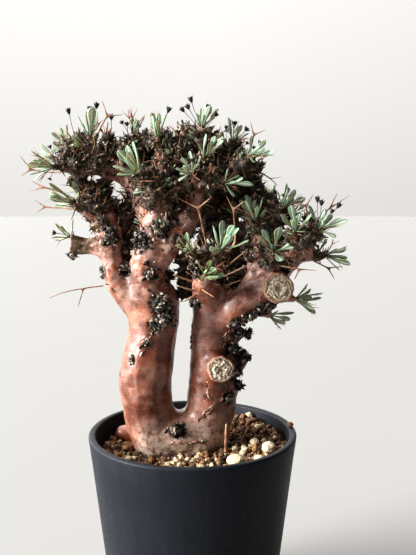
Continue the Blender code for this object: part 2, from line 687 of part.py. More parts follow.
def main():
    clear_scene()
    model = new_collection("potted_succulent")
    cutters = new_collection("cutters")
    materials = {name: new_material(name) for name in COLOURS}
    build_pot(model, cutters, materials["pot"])
    stem = build_stem(model, cutters, materials["bark"])
    clearance = stem_clearance(stem, cutters)
    build_soil(model, clearance, materials["soil"], cutters)
    for number, shoot in enumerate(LEAFY_SHOOTS, 1):
        build_rosette(number, shoot, clearance, model, cutters, materials["leaf"])
    for number, spine in enumerate(SPINES, 1):
        build_spine(number, spine, clearance, model, cutters, materials["spine"])
    for number, (bearing, reach, share) in enumerate(STONES, 1):
        build_stone(number, bearing, reach, share, model, materials["stone"])
    build_twig(model, materials["spine"])


main()
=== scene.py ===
"""Potted succulent, finished look: bark, dead growth, leaves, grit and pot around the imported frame.

Metres, +Z up, origin at the middle of the pot's flat underside.
"""

import math
import random

import bpy
import numpy as np
from bpy.props import FloatProperty, FloatVectorProperty, IntProperty, PointerProperty
from mathutils import Matrix, Vector, noise
from mathutils.bvhtree import BVHTree


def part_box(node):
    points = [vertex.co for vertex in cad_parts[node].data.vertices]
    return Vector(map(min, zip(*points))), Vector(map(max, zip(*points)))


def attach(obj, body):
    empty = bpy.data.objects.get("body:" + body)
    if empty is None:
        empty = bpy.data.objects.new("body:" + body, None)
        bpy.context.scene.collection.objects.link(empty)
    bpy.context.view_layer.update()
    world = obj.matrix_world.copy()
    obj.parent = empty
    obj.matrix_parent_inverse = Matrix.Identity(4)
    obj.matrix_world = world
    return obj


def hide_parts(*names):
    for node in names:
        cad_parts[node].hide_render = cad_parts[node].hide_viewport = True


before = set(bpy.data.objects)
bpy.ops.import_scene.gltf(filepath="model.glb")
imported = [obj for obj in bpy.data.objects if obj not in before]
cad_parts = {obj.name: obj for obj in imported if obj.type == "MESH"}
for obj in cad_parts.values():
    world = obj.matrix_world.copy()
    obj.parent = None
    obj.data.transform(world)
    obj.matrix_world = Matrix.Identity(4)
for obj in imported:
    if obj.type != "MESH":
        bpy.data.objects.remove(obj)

bl_info = {
    "name": "Potted Succulent",
    "version": (1, 0, 0),
    "blender": (4, 5, 0),
    "location": "View3D > Sidebar > Succulent",
    "description": "Builds the bark, dead growth, leaves, grit and pot of a two-trunked succulent",
    "category": "Add Mesh",
}

MM = 0.001
UP = Vector((0, 0, 1))
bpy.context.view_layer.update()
POT_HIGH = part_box("pot")[1]
RIM_RADIUS = POT_HIGH.x
RIM_Z = POT_HIGH.z
SOIL_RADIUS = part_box("soil")[1].x
FOOT_Z = RIM_Z - 10 * MM  # the soil's level at the plant's foot
ROSETTES = sorted(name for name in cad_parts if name.startswith("leaf_rosette"))
STALKS = sorted(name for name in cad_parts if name.startswith("dry_flower_stalk"))
STONES = sorted(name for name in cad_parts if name.startswith("pumice_stone"))
YOUNG_GREEN = ("leaf_rosette_12", "leaf_rosette_22", "leaf_rosette_23", "leaf_rosette_13")

# Dead crust on the bark: (x, z) of its middle as seen from the front, its spread, how many flakes.
BLACK_CRUST = (
    ((-17, 191), 7.5, 210), ((-15, 184), 6.5, 150), ((-20, 179), 4.5, 70), ((-25, 171), 2.2, 26),
    ((-33, 159), 1.8, 16), ((-8, 119), 5.0, 110), ((-38, 219), 6.0, 110), ((-36, 209), 5.0, 90),
    ((-23, 208), 4.5, 80), ((25, 180), 4.5, 80), ((33, 184), 5.0, 90), ((42, 189), 4.5, 80),
    ((27, 172), 5.5, 120), ((33, 172), 3.5, 60), ((22, 163), 5.0, 120), ((29, 158), 5.0, 120),
    ((24, 150), 5.0, 90), ((27, 141), 4.0, 80), ((20, 136), 4.0, 40), ((-50, 208), 4.0, 50),
    ((-68, 217), 3.6, 50), ((24, 210), 7.0, 140), ((20, 203), 6.0, 100), ((2, 191), 4.5, 60),
    ((-14, 204), 5.0, 50), ((28, 222), 7.0, 110), ((2, 212), 6.0, 80), ((38, 187), 4.0, 60),
    ((-28, 226), 7.0, 110), ((-18, 233), 6.0, 90), ((-45, 228), 7.0, 110), ((50, 212), 6.0, 70),
    ((40, 214), 5.0, 60), ((-6, 226), 5.0, 60), ((12, 233), 7.0, 90),
)
# Dead matter lodged between the limbs: (x, y, z) and width of each lump, in millimetres.
LODGED_THATCH = (
    # The first eight lumps fill the fork between the trunks with near-black matter: partly painted shade,
    # where the fork lies in deep shade.
    (0, 12, 199, 15), (-2, 14, 206, 16), (5, 14, 211, 15), (-1, 6, 197, 13), (-3, 8, 204, 14),
    (0, 10, 212, 14), (-5, 6, 213, 11), (3, 12, 203, 12),
    (-37, 5, 221, 12), (-36, 6, 229, 12), (-34, 7, 237, 13), (-41, 4, 238, 11), (-33, 3, 213, 9),
    (-45, 7, 244, 12), (-53, 5, 245, 11), (-30, 10, 245, 13), (-12, 6, 238, 9), (-9, 9, 247, 12),
    (-14, 8, 229, 9), (28, 8, 206, 13), (24, 8, 213, 14), (33, 9, 216, 12), (22, 10, 222, 13),
    (31, 9, 228, 13), (48, 4, 214, 11), (53, 3, 221, 11), (46, 6, 229, 12), (59, 2, 229, 11),
    (67, 3, 236, 10), (-60, 6, 264, 12), (-50, 7, 262, 12), (-40, 8, 266, 12), (-68, 4, 258, 10),
    (-30, 10, 270, 12), (-20, 8, 268, 13), (-8, 8, 270, 14), (3, 10, 268, 14), (14, 14, 268, 13),
    (25, 12, 262, 13), (34, 10, 256, 12), (40, 8, 246, 12), (20, 22, 250, 14), (0, 22, 262, 15),
    (-18, 22, 262, 15), (-34, 22, 256, 14), (40, 22, 238, 13), (-50, 20, 240, 13), (8, 2, 244, 10),
    (-24, 0, 262, 10), (-10, -3, 258, 11), (12, -2, 262, 11), (24, 2, 248, 11), (32, -2, 240, 10),
)
# Grey dead twigs at the fork between the trunks: foot and tip.
GREY_TWIGS = (
    ((0, -16, 204), (-10, -21, 208)), ((1, -17, 199), (-8, -20, 202)), ((2, -15, 196), (-5, -19, 193)),
    ((4, -18, 201), (12, -24, 196)), ((6, -20, 205), (15, -26, 203)), ((3, -19, 206), (-3, -26, 210)),
    ((16, -2, 199), (27, -12, 204)), ((18, -2, 205), (30, -11, 212)), ((20, 0, 211), (31, -8, 221)),
)
# Pale peeling bark: from one place to another, with how many flakes.
PEELING = (
    ((2, 123), (19, 139), 46), ((17, 163), (22, 178), 34), ((8, 147), (10, 137), 14),
    ((19, 145), (20, 138), 10), ((-20, 178), (-27, 164), 30), ((-1, 178), (-1, 166), 16),
    ((-12, 111), (8, 112), 30), ((37, 192), (44, 206), 16), ((-40, 196), (-52, 203), 14),
)
# Sawn limbs: (x, z) of the cut face as seen from the front, its radius.
SAWN_FACES = {"sawn_face_upper": ((47, 201), 8.2), "sawn_face_lower": ((16, 154), 7.4)}
# Dried flower heads that stand clear of the crown: their middles.
FLOWER_HEADS = (
    (-68, -3, 298), (-56, -4, 299), (-52, -3, 301), (-78, -8, 259), (-78, -4, 230), (-12, -8, 298),
    (-6, -6, 298), (-1, -4, 304), (-3, -3, 300), (9, -4, 300), (14, -6, 295), (38, -4, 280),
    (45, -12, 253), (52, -10, 248), (55, -12, 249), (68, -14, 250), (71, -10, 248), (77, -12, 243),
    (82, -6, 246), (24, 6, 292), (31, 2, 288), (-40, 6, 292), (-30, 8, 290), (-46, 10, 296),
    (2, 44, 284), (20, 44, 274), (-40, 46, 268), (48, 42, 250), (-66, 30, 252), (8, 52, 258),
)
RIM_CRUMB = (57.6, 6.0)  # a crumb of clay left on the rim: x, y
WHITE_PELLET = (35.5, 40.5)  # a pale pellet on the soil: x, y
# Wood is young once it is thinner than OLD_THICKNESS by YOUNG_SPAN, and old below YOUNG_FROM.
OLD_THICKNESS = 0.0135
YOUNG_SPAN = 0.0045
YOUNG_FROM = 0.190
YOUNG_FADE = 0.012
SKIN_DEPTH = 0.0004  # where a measure of the wood's thickness starts
THICKEST = 0.03
LUMP_WIDTH = (3.5, 9.0)  # a lump of dead matter: least and most, in millimetres
ROSETTE_CLEARANCE = 5.0 * MM  # kept free of thatch and of small tufts
SEEDS = {"crust": 11, "thatch": 23, "stubble": 37, "leaves": 61, "grit": 71,
         "lumps": 5, "stubs": 41, "curls": 43, "spines": 47, "heads": 53, "tufts": 67}
# A sawn face from its edge to its middle: height in millimetres and share of its radius.
SAWN_PROFILE = (
    (-3.0, 0.92), (-1.2, 1.02), (0.4, 1.05), (1.3, 0.96), (1.5, 0.87), (0.9, 0.81), (0.9, 0.76),
    (1.3, 0.68), (1.1, 0.58), (1.4, 0.46), (1.0, 0.34), (1.1, 0.22), (0.5, 0.10), (0.4, 0.03),
)
LEAF_TURN = math.radians(137.5)  # from one leaf of a rosette to the next
FLOOR_RADIUS = 9.0
FLOOR_GAP = 0.4 * MM  # under the pot


# --- settings ----------------------------------------------------------------
def length(name, description, default, **extra):
    return FloatProperty(name=name, description=description, default=default, unit="LENGTH",
                         precision=5, **extra)


def span(name, description, least, most):
    """A shortest and a longest length, between which each copy's is drawn."""
    return FloatVectorProperty(name=name, description=description, default=(least, most), size=2,
                               unit="LENGTH", precision=5)


def colour(name, description, default):
    return FloatVectorProperty(name=name, description=description, default=default, size=3,
                               subtype="COLOR", min=0.0, max=1.0)


class PotSettings(bpy.types.PropertyGroup):
    wall: length("Wall", "Thickness of the side and of the floor", 0.004)
    taper: FloatProperty(name="Taper", description="Lean of the side", default=math.radians(6.8),
                         subtype="ANGLE")
    lip: length("Lip rounding", "Radius of the rounded rim", 0.0014)
    foot: length("Foot rounding", "Radius round the underside", 0.0015)
    hole_radius: length("Hole radius", "Radius of a drain hole", 0.0045)
    hole_ring: length("Hole ring", "Distance of the drain holes from the middle", 0.024)
    holes: IntProperty(name="Holes", description="Number of drain holes", default=4)
    sides: IntProperty(name="Sides", description="Faces round the pot", default=144)
    body_colour: colour("Glaze", "Matte charcoal body", (0.0105, 0.0120, 0.0165))
    dust_colour: colour("Dust", "Pale dust and specks on the body", (0.07, 0.07, 0.075))


class SoilSettings(bpy.types.PropertyGroup):
    voxel: length("Fineness", "Cell of the soil's surface", 0.0013)
    grains: IntProperty(name="Grains", description="Loose grains on the soil", default=2600)
    smallest: length("Smallest grain", "Width of the finest grit", 0.0012)
    largest: length("Largest grain", "Width of the coarsest grit", 0.0048)
    clay_colour: colour("Baked clay", "Brown baked-clay grit", (0.19, 0.095, 0.042))
    pumice_colour: colour("Pumice", "Cream pumice", (0.72, 0.58, 0.38))
    lava_colour: colour("Lava", "Dark lava grit", (0.045, 0.022, 0.016))


class BarkSettings(bpy.types.PropertyGroup):
    voxel: length("Fineness", "Cell of the bark's surface", 0.00105)
    swelling: length("Swelling", "Depth of the slow swellings", 0.0007)
    wrinkle: length("Wrinkles", "Depth of the level wrinkles", 0.00018)
    gnarl: length("Gnarls", "Depth of the knobs on young wood", 0.0014)
    red: colour("Red bark", "Main colour of the old bark", (0.185, 0.055, 0.030))
    # Dark bark is partly painted shade: the colour of the trunks' shaded side, used in the mottle and in
    # the level bands.
    dark: colour("Dark bark", "Folds and shaded streaks", (0.045, 0.012, 0.006))
    pink: colour("Pink bloom", "Waxy bloom on the limbs", (0.48, 0.31, 0.26))
    olive: colour("Young wood", "Skin of the young shoots", (0.105, 0.060, 0.025))
    scab: colour("Scab", "Dead skin under the crust", (0.030, 0.021, 0.016))


class CrownSettings(bpy.types.PropertyGroup):
    lumps: IntProperty(name="Thatch lumps", description="Lumps of dead matter", default=900)
    stubs: IntProperty(name="Stubs", description="Dead stalk stubs", default=6200)
    curls: IntProperty(name="Curls", description="Curled dead leaves", default=6200)
    spines: IntProperty(name="Spines", description="Small forked spines", default=260)
    heads: IntProperty(name="Flower heads", description="Dried flower heads in the crown", default=90)
    tufts: IntProperty(name="Leaf tufts", description="Small leaf tufts in the crown", default=230)
    crown_base: length("Crown base", "Height above which dead growth stands", 0.205)
    voxel: length("Thatch fineness", "Cell of the thatch's surface", 0.0013)
    stub_length: span("Stub length", "Length of a dead stub", 0.0018, 0.0060)
    stub_width: span("Stub width", "Width of a dead stub", 0.0006, 0.00115)
    curl_length: span("Curl length", "Length of a curled dead leaf", 0.0014, 0.0038)
    spine_length: span("Spine length", "Length of a forked spine", 0.007, 0.013)
    leafy_spine_length: span("Leafy spine length", "Length of a spine among leaves", 0.009, 0.015)
    head_length: span("Head stalk", "Length of a flower head's stalk", 0.007, 0.012)
    head_width: span("Head width", "Width that scales a flower head", 0.005, 0.0075)
    tuft_reach: span("Tuft reach", "Length of a small tuft's leaves", 0.0045, 0.0090)


class LeafSettings(bpy.types.PropertyGroup):
    width_share: FloatProperty(name="Width", description="Leaf width over its length", default=0.30)
    thickness_share: FloatProperty(name="Thickness", description="Leaf thickness over its length",
                                   default=0.075)
    glaucous: colour("Blue green", "Waxy leaf face", (0.130, 0.215, 0.140))
    green: colour("Green", "Fresh leaf face", (0.120, 0.215, 0.045))
    margin: colour("Margin", "Pale leaf edge", (0.56, 0.62, 0.46))


class StageSettings(bpy.types.PropertyGroup):
    camera_side: length("Camera side", "Camera place along X", 0.00884)
    camera_back: length("Camera distance", "Camera distance in front of the pot", 0.3951)
    camera_height: length("Camera height", "Camera height over the floor", 0.2497)
    camera_pitch: FloatProperty(name="Camera pitch", description="How far it looks down",
                                default=0.1146, subtype="ANGLE")
    lens: FloatProperty(name="Lens", description="Focal length in mm", default=45.4)
    key_power: FloatProperty(name="Key light", description="Strength of the window light", default=10.0)
    floor_colour: colour("Floor", "Pale plain floor", (0.270, 0.266, 0.258))
    sky_colour: colour("Surround", "Pale surround", (0.95, 0.935, 0.905))


SETTINGS = {
    "succulent_pot": PotSettings,
    "succulent_soil": SoilSettings,
    "succulent_bark": BarkSettings,
    "succulent_crown": CrownSettings,
    "succulent_leaf": LeafSettings,
    "succulent_stage": StageSettings,
}


# --- working on pieces -----------------------------------------------------------
def clean_start():
    """Leaves edit mode and deselects everything."""
    if bpy.context.object is not None and bpy.context.object.mode != "OBJECT":
        bpy.ops.object.mode_set(mode="OBJECT")
    bpy.ops.object.select_all(action="DESELECT")


def pick(piece):
    """Makes one piece the only selected and the active one."""
    clean_start()
    piece.select_set(True)
    bpy.context.view_layer.objects.active = piece


def apply_modifiers(piece):
    """Applies the piece's modifiers from first to last."""
    pick(piece)
    for modifier in list(piece.modifiers):
        bpy.ops.object.modifier_apply(modifier=modifier.name)


def drop(*pieces):
    for piece in pieces:
        bpy.data.objects.remove(piece, do_unlink=True)


def settle(piece, name, finish, slot, *nodes):
    """Puts a finished piece's place in its mesh, dresses it and hangs it on the frame."""
    pick(piece)
    bpy.ops.object.transform_apply(location=True, rotation=True, scale=True)
    piece.name = name
    piece.data.name = name
    piece.data.materials.clear()
    piece.data.materials.append(finish)
    piece.data.shade_smooth()
    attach(piece, "root")
    if nodes:
        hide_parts(*nodes)
    return piece


def sewn_copy(node):
    """A copy of a CAD node with its loose triangles merged."""
    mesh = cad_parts[node].data.copy()
    for layer in ("custom_normal", "sharp_edge", "sharp_face"):
        if layer in mesh.attributes:
            mesh.attributes.remove(mesh.attributes[layer])
    piece = bpy.data.objects.new(node + "_copy", mesh)
    bpy.context.scene.collection.objects.link(piece)
    pick(piece)
    bpy.ops.object.mode_set(mode="EDIT")
    bpy.ops.mesh.select_all(action="SELECT")
    bpy.ops.mesh.remove_doubles(threshold=0.00001)
    bpy.ops.mesh.normals_make_consistent(inside=False)
    bpy.ops.object.mode_set(mode="OBJECT")
    return piece


def smoothed(piece, levels):
    """Adds a subdivision surface."""
    modifier = piece.modifiers.new("round", "SUBSURF")
    modifier.levels = levels
    modifier.render_levels = levels


def remeshed(piece, voxel):
    """Adds a remesh that makes one skin of everything in the piece."""
    modifier = piece.modifiers.new("one skin", "REMESH")
    modifier.mode = "VOXEL"
    modifier.voxel_size = voxel


def relaxed(piece, times):
    """Adds a smoothing that evens out the remesh's steps."""
    modifier = piece.modifiers.new("relax", "SMOOTH")
    modifier.factor = 0.5
    modifier.iterations = times


def drawn_out(name, sides, sections):
    """A closed solid drawn out of a disc through sections (x, y, z, half width, half depth)."""
    clean_start()
    x, y, z, width, depth = sections[0]
    bpy.ops.mesh.primitive_circle_add(vertices=sides, radius=1.0, fill_type="NGON",
                                      location=(x, y, z))
    piece = bpy.context.object
    piece.name = name
    bpy.ops.object.transform_apply(location=True, rotation=False, scale=False)
    bpy.ops.object.mode_set(mode="EDIT")
    bpy.ops.mesh.select_all(action="SELECT")
    bpy.ops.transform.resize(value=(width, depth, 1), center_override=(x, y, z))
    for nx, ny, nz, new_width, new_depth in sections[1:]:
        bpy.ops.mesh.extrude_region_move(
            TRANSFORM_OT_translate={"value": (nx - x, ny - y, nz - z)})
        bpy.ops.transform.resize(value=(new_width / width, new_depth / depth, 1),
                                 center_override=(nx, ny, nz))
        x, y, z, width, depth = nx, ny, nz, new_width, new_depth
    bpy.ops.mesh.select_all(action="SELECT")
    bpy.ops.mesh.normals_make_consistent(inside=False)
    bpy.ops.object.mode_set(mode="OBJECT")
    return piece


def joined(name, *pieces):
    """Several drawn shapes as one object."""
    clean_start()
    for piece in pieces:
        piece.select_set(True)
    bpy.context.view_layer.objects.active = pieces[0]
    bpy.ops.object.join()
    pieces[0].name = name
    return pieces[0]


def lump(name, cuts, roughness, seed, shape=(1.0, 1.0, 1.0)):
    """A rough round grain, 1 across, from a subdivided cube."""
    clean_start()
    bpy.ops.mesh.primitive_cube_add(size=1.0)
    piece = bpy.context.object
    piece.name = name
    bpy.ops.object.mode_set(mode="EDIT")
    bpy.ops.mesh.select_all(action="SELECT")
    bpy.ops.mesh.subdivide(number_cuts=cuts)
    bpy.ops.object.mode_set(mode="OBJECT")
    cast = piece.modifiers.new("round", "CAST")
    cast.factor = 0.85
    cast.size = 0.5
    cast.use_radius_as_size = False
    apply_modifiers(piece)
    for vertex in piece.data.vertices:
        bump = noise.noise(vertex.co * 2.6 + Vector((seed * 5.3, 0, 0)))
        vertex.co = (vertex.co * (1 + roughness * bump)) * Vector(shape)
    return piece


# --- many copies in one mesh -------------------------------------------------------
def mesh_arrays(mesh):
    """A mesh's points, its corners' points, where each face starts, and its UVs."""
    points = np.empty(len(mesh.vertices) * 3)
    mesh.vertices.foreach_get("co", points)
    corners = np.empty(len(mesh.loops), np.int32)
    mesh.loops.foreach_get("vertex_index", corners)
    starts = np.empty(len(mesh.polygons), np.int32)
    mesh.polygons.foreach_get("loop_start", starts)
    uv = np.zeros(len(mesh.loops) * 2)
    if mesh.uv_layers:
        mesh.uv_layers.active.data.foreach_get("uv", uv)
    return points.reshape(-1, 3), corners, starts, uv.reshape(-1, 2)


def planted(name, masters, plants):
    """One object that holds a copy of a master for each (master number, place, tone)."""
    arrays = [mesh_arrays(master.data) for master in masters]
    points, corners, starts, uvs, tones = [], [], [], [], []
    point_total = corner_total = 0
    for kind, place, tone in plants:
        own, own_corners, own_starts, own_uv = arrays[kind]
        matrix = np.array(place)
        points.append(own @ matrix[:3, :3].T + matrix[:3, 3])
        corners.append(own_corners + point_total)
        starts.append(own_starts + corner_total)
        uvs.append(own_uv)
        tones.append(np.full(len(own), tone))
        point_total += len(own)
        corner_total += len(own_corners)
    mesh = bpy.data.meshes.new(name)
    mesh.vertices.add(point_total)
    mesh.vertices.foreach_set("co", np.concatenate(points).ravel())
    mesh.loops.add(corner_total)
    mesh.loops.foreach_set("vertex_index", np.concatenate(corners))
    mesh.polygons.add(sum(len(s) for s in starts))
    mesh.polygons.foreach_set("loop_start", np.concatenate(starts))
    mesh.update(calc_edges=True)
    mesh.uv_layers.new(name="UVMap").data.foreach_set("uv", np.concatenate(uvs).ravel())
    set_attribute(mesh, "tone", np.concatenate(tones))
    piece = bpy.data.objects.new(name, mesh)
    bpy.context.scene.collection.objects.link(piece)
    return piece


def strewn(name, masters, plants, finish, slot):
    """A finished piece of many copies, whose masters are then dropped."""
    piece = settle(planted(name, masters, plants), name, finish, slot)
    drop(*masters)
    return piece


def set_attribute(mesh, name, values):
    """Stores one number for each point, which a finish can read."""
    layer = mesh.attributes.new(name, "FLOAT", "POINT")
    layer.data.foreach_set("value", np.asarray(values, np.float32))


def aimed(point, way, long, wide, turn=0.0, deep=None):
    """The place of a master that is 1 long up +Z: its foot at a point, pointing along way."""
    size = Matrix.Diagonal((wide, wide if deep is None else deep, long, 1))
    turned = way.to_track_quat("Z", "Y").to_matrix().to_4x4() @ Matrix.Rotation(turn, 4, "Z")
    return Matrix.Translation(point) @ turned @ size


def jitter(chance):
    """A random vector to throw a direction or a place off by."""
    return Vector((chance.gauss(0, 1), chance.gauss(0, 1), chance.gauss(0, 1)))


class Ground:
    """A piece's surface, for finding places on it."""

    def __init__(self, piece):
        depsgraph = bpy.context.evaluated_depsgraph_get()
        self.tree = BVHTree.FromObject(piece, depsgraph)
        self.mesh = piece.data

    def front(self, x, z):
        """The place on the surface seen from the front at x, z millimetres."""
        hit = self.tree.ray_cast(Vector((x * MM, -0.3, z * MM)), Vector((0, 1, 0)))
        if hit[0] is None or hit[0].y > 0.03:
            hit = self.tree.find_nearest(Vector((x * MM, 0, z * MM)))
        return hit[0], hit[1]

    def samples(self, count, seed, weigh):
        """Random places, with their normals, where weigh(points, normals) is high."""
        self.mesh.calc_loop_triangles()
        triangles = np.empty(len(self.mesh.loop_triangles) * 3, np.int32)
        self.mesh.loop_triangles.foreach_get("vertices", triangles)
        points = mesh_arrays(self.mesh)[0][triangles.reshape(-1, 3)]
        across = np.cross(points[:, 1] - points[:, 0], points[:, 2] - points[:, 0])
        area = np.linalg.norm(across, axis=1)
        normals = across / np.maximum(area, 1e-15)[:, None]
        share = area * weigh(points.mean(1), normals, triangles.reshape(-1, 3))
        dice = np.random.default_rng(seed)
        chosen = dice.choice(len(share), count, p=share / share.sum())
        a, b = dice.random(count), dice.random(count)
        a, b = np.where(a + b > 1, 1 - a, a)[:, None], np.where(a + b > 1, 1 - b, b)[:, None]
        corner = points[chosen]
        places = corner[:, 0] + (corner[:, 1] - corner[:, 0]) * a + (corner[:, 2] - corner[:, 0]) * b
        return [(Vector(p), Vector(n)) for p, n in zip(places, normals[chosen])]


def rosette_seat(node, bark):
    """Where a rosette grows from, the way it faces and how far it reaches."""
    points = mesh_arrays(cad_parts[node].data)[0]
    middle = Vector(points.mean(0))
    seat = bark.tree.find_nearest(middle)[0]
    way = (middle - seat).normalized()
    reach = float(((points - np.array(seat)) @ np.array(way)).max())
    return seat, way, reach


# --- materials --------------------------------------------------------------------
class Finish:
    """A procedural material, with short ways to wire its nodes. Pattern sizes are in metres."""

    def __init__(self, name, **constants):
        self.material = bpy.data.materials.new(name)
        self.material.use_nodes = True
        self.nodes = self.material.node_tree.nodes
        self.links = self.material.node_tree.links
        self.shader = self.nodes["Principled BSDF"]
        for socket, value in constants.items():
            name = socket.replace("_", " ").title().replace("Ior", "IOR")
            self.shader.inputs[name].default_value = value
        self.place = self.nodes.new("ShaderNodeTexCoord").outputs["Object"]

    def feed(self, socket, value):
        """Links a node's output to a socket, or sets a colour or a number on it."""
        if isinstance(value, bpy.types.NodeSocket):
            self.links.new(value, socket)
        elif hasattr(value, "__len__"):
            socket.default_value = (*value[:3], 1.0)
        else:
            socket.default_value = value

    def mapped(self, size, stretch):
        mapping = self.nodes.new("ShaderNodeMapping")
        mapping.inputs["Scale"].default_value = [1 / (size * s) for s in stretch]
        self.links.new(self.place, mapping.inputs["Vector"])
        return mapping.outputs["Vector"]

    def cloud(self, size, detail=3.0, rough=0.5, stretch=(1, 1, 1), twist=0.0):
        """Soft noise, about 0.5 on average."""
        node = self.nodes.new("ShaderNodeTexNoise")
        node.inputs["Scale"].default_value = 1.0
        node.inputs["Detail"].default_value = detail
        node.inputs["Roughness"].default_value = rough
        node.inputs["Distortion"].default_value = twist
        self.links.new(self.mapped(size, stretch), node.inputs["Vector"])
        return node.outputs[0]

    def cells(self, size, stretch=(1, 1, 1)):
        """Distance to the nearest of scattered points."""
        node = self.nodes.new("ShaderNodeTexVoronoi")
        node.inputs["Scale"].default_value = 1.0
        self.links.new(self.mapped(size, stretch), node.inputs["Vector"])
        return node.outputs["Distance"]

    def part(self, axis):
        node = self.nodes.new("ShaderNodeSeparateXYZ")
        self.links.new(self.place, node.inputs[0])
        return node.outputs[axis]

    def uv(self, axis):
        source = self.nodes.new("ShaderNodeUVMap")
        source.uv_map = "UVMap"
        node = self.nodes.new("ShaderNodeSeparateXYZ")
        self.links.new(source.outputs[0], node.inputs[0])
        return node.outputs[axis]

    def attribute(self, name):
        node = self.nodes.new("ShaderNodeAttribute")
        node.attribute_name = name
        return node.outputs["Fac"]

    def level(self, value, low, high, to_low=0.0, to_high=1.0):
        """A value brought from one range to another and held within it."""
        node = self.nodes.new("ShaderNodeMapRange")
        self.feed(node.inputs["Value"], value)
        for socket, number in zip(("From Min", "From Max", "To Min", "To Max"),
                                  (low, high, to_low, to_high)):
            node.inputs[socket].default_value = number
        return node.outputs["Result"]

    def maths(self, operation, a, b=0.0):
        node = self.nodes.new("ShaderNodeMath")
        node.operation = operation
        self.feed(node.inputs[0], a)
        self.feed(node.inputs[1], b)
        return node.outputs[0]

    def ramp(self, value, *stops):
        node = self.nodes.new("ShaderNodeValToRGB")
        while len(node.color_ramp.elements) < len(stops):
            node.color_ramp.elements.new(1.0)
        for element, (position, shade) in zip(node.color_ramp.elements, stops):
            element.position = position
            element.color = (*shade[:3], 1.0)
        self.feed(node.inputs[0], value)
        return node.outputs[0]

    def mix(self, share, a, b, blend="MIX"):
        """Colour a, with a share of colour b over it."""
        node = self.nodes.new("ShaderNodeMix")
        node.data_type = "RGBA"
        node.blend_type = blend
        self.feed(node.inputs[0], share)
        self.feed(node.inputs[6], a)
        self.feed(node.inputs[7], b)
        return node.outputs[2]

    def dimmed(self, base, share):
        """A colour made darker or lighter by a value."""
        return self.mix(1.0, base, self.mix(share, (0, 0, 0), (1, 1, 1)), "MULTIPLY")

    def dress(self, base, rough=None, height=None, depth=0.0002, strength=1.0):
        """Gives the shader its colour, its roughness and a bump of a depth in metres."""
        self.feed(self.shader.inputs["Base Color"], base)
        if rough is not None:
            self.feed(self.shader.inputs["Roughness"], rough)
        if height is not None:
            bump = self.nodes.new("ShaderNodeBump")
            bump.inputs["Strength"].default_value = strength
            bump.inputs["Distance"].default_value = depth
            self.links.new(height, bump.inputs["Height"])
            self.links.new(bump.outputs[0], self.shader.inputs["Normal"])
        return self.material


def shaded(shade, factor):
    """The same hue, lighter or darker."""
    return tuple(min(1.0, c * factor) for c in shade)


def charcoal_ceramic(pot):
    """Matte charcoal body, faintly streaked, with pale specks of dust."""
    finish = Finish("charcoal_ceramic", specular_ior_level=0.16)
    streaks = finish.cloud(5 * MM, 4, 0.6, stretch=(1, 1, 14))
    blotch = finish.cloud(26 * MM, 3)
    specks = finish.level(finish.cells(2.2 * MM), 0.16, 0.06)
    fewer = finish.level(finish.cloud(3 * MM, 1), 0.52, 0.62)
    base = finish.mix(finish.level(streaks, 0.35, 0.75, 0.0, 0.35), pot.body_colour[:],
                      shaded(pot.body_colour, 2.1))
    base = finish.mix(finish.level(blotch, 0.4, 0.7, 0.0, 0.25), base, shaded(pot.body_colour, 0.6))
    base = finish.mix(finish.maths("MULTIPLY", specks, fewer), base, pot.dust_colour[:])
    rough = finish.level(finish.cloud(1.6 * MM, 3), 0.3, 0.7, 0.42, 0.56)
    return finish.dress(base, rough, finish.cloud(0.55 * MM, 3), 0.00006, 0.7)


def potting_soil(soil):
    """Dark crumbly bed under the loose grit."""
    finish = Finish("potting_soil", roughness=0.95)
    base = finish.ramp(finish.cloud(2.4 * MM, 5, 0.7), (0.30, shaded(soil.lava_colour, 0.7)),
                       (0.52, shaded(soil.clay_colour, 0.45)), (0.72, soil.clay_colour[:]))
    return finish.dress(base, None, finish.cloud(0.8 * MM, 4, 0.7), 0.0005)


def grit(name, dark, light, pits):
    """Crumbly stone: two shades from grain to grain, with pits of a given size."""
    finish = Finish(name, roughness=0.9)
    base = finish.mix(finish.attribute("tone"), dark, light)
    shade = finish.level(finish.cloud(1.1 * MM, 4, 0.6), 0.3, 0.62, 0.45, 1.12)
    base = finish.dimmed(base, shade)
    pit = finish.maths("MULTIPLY", finish.cells(pits), finish.cloud(pits * 1.5, 3))
    return finish.dress(base, None, pit, 0.0006)


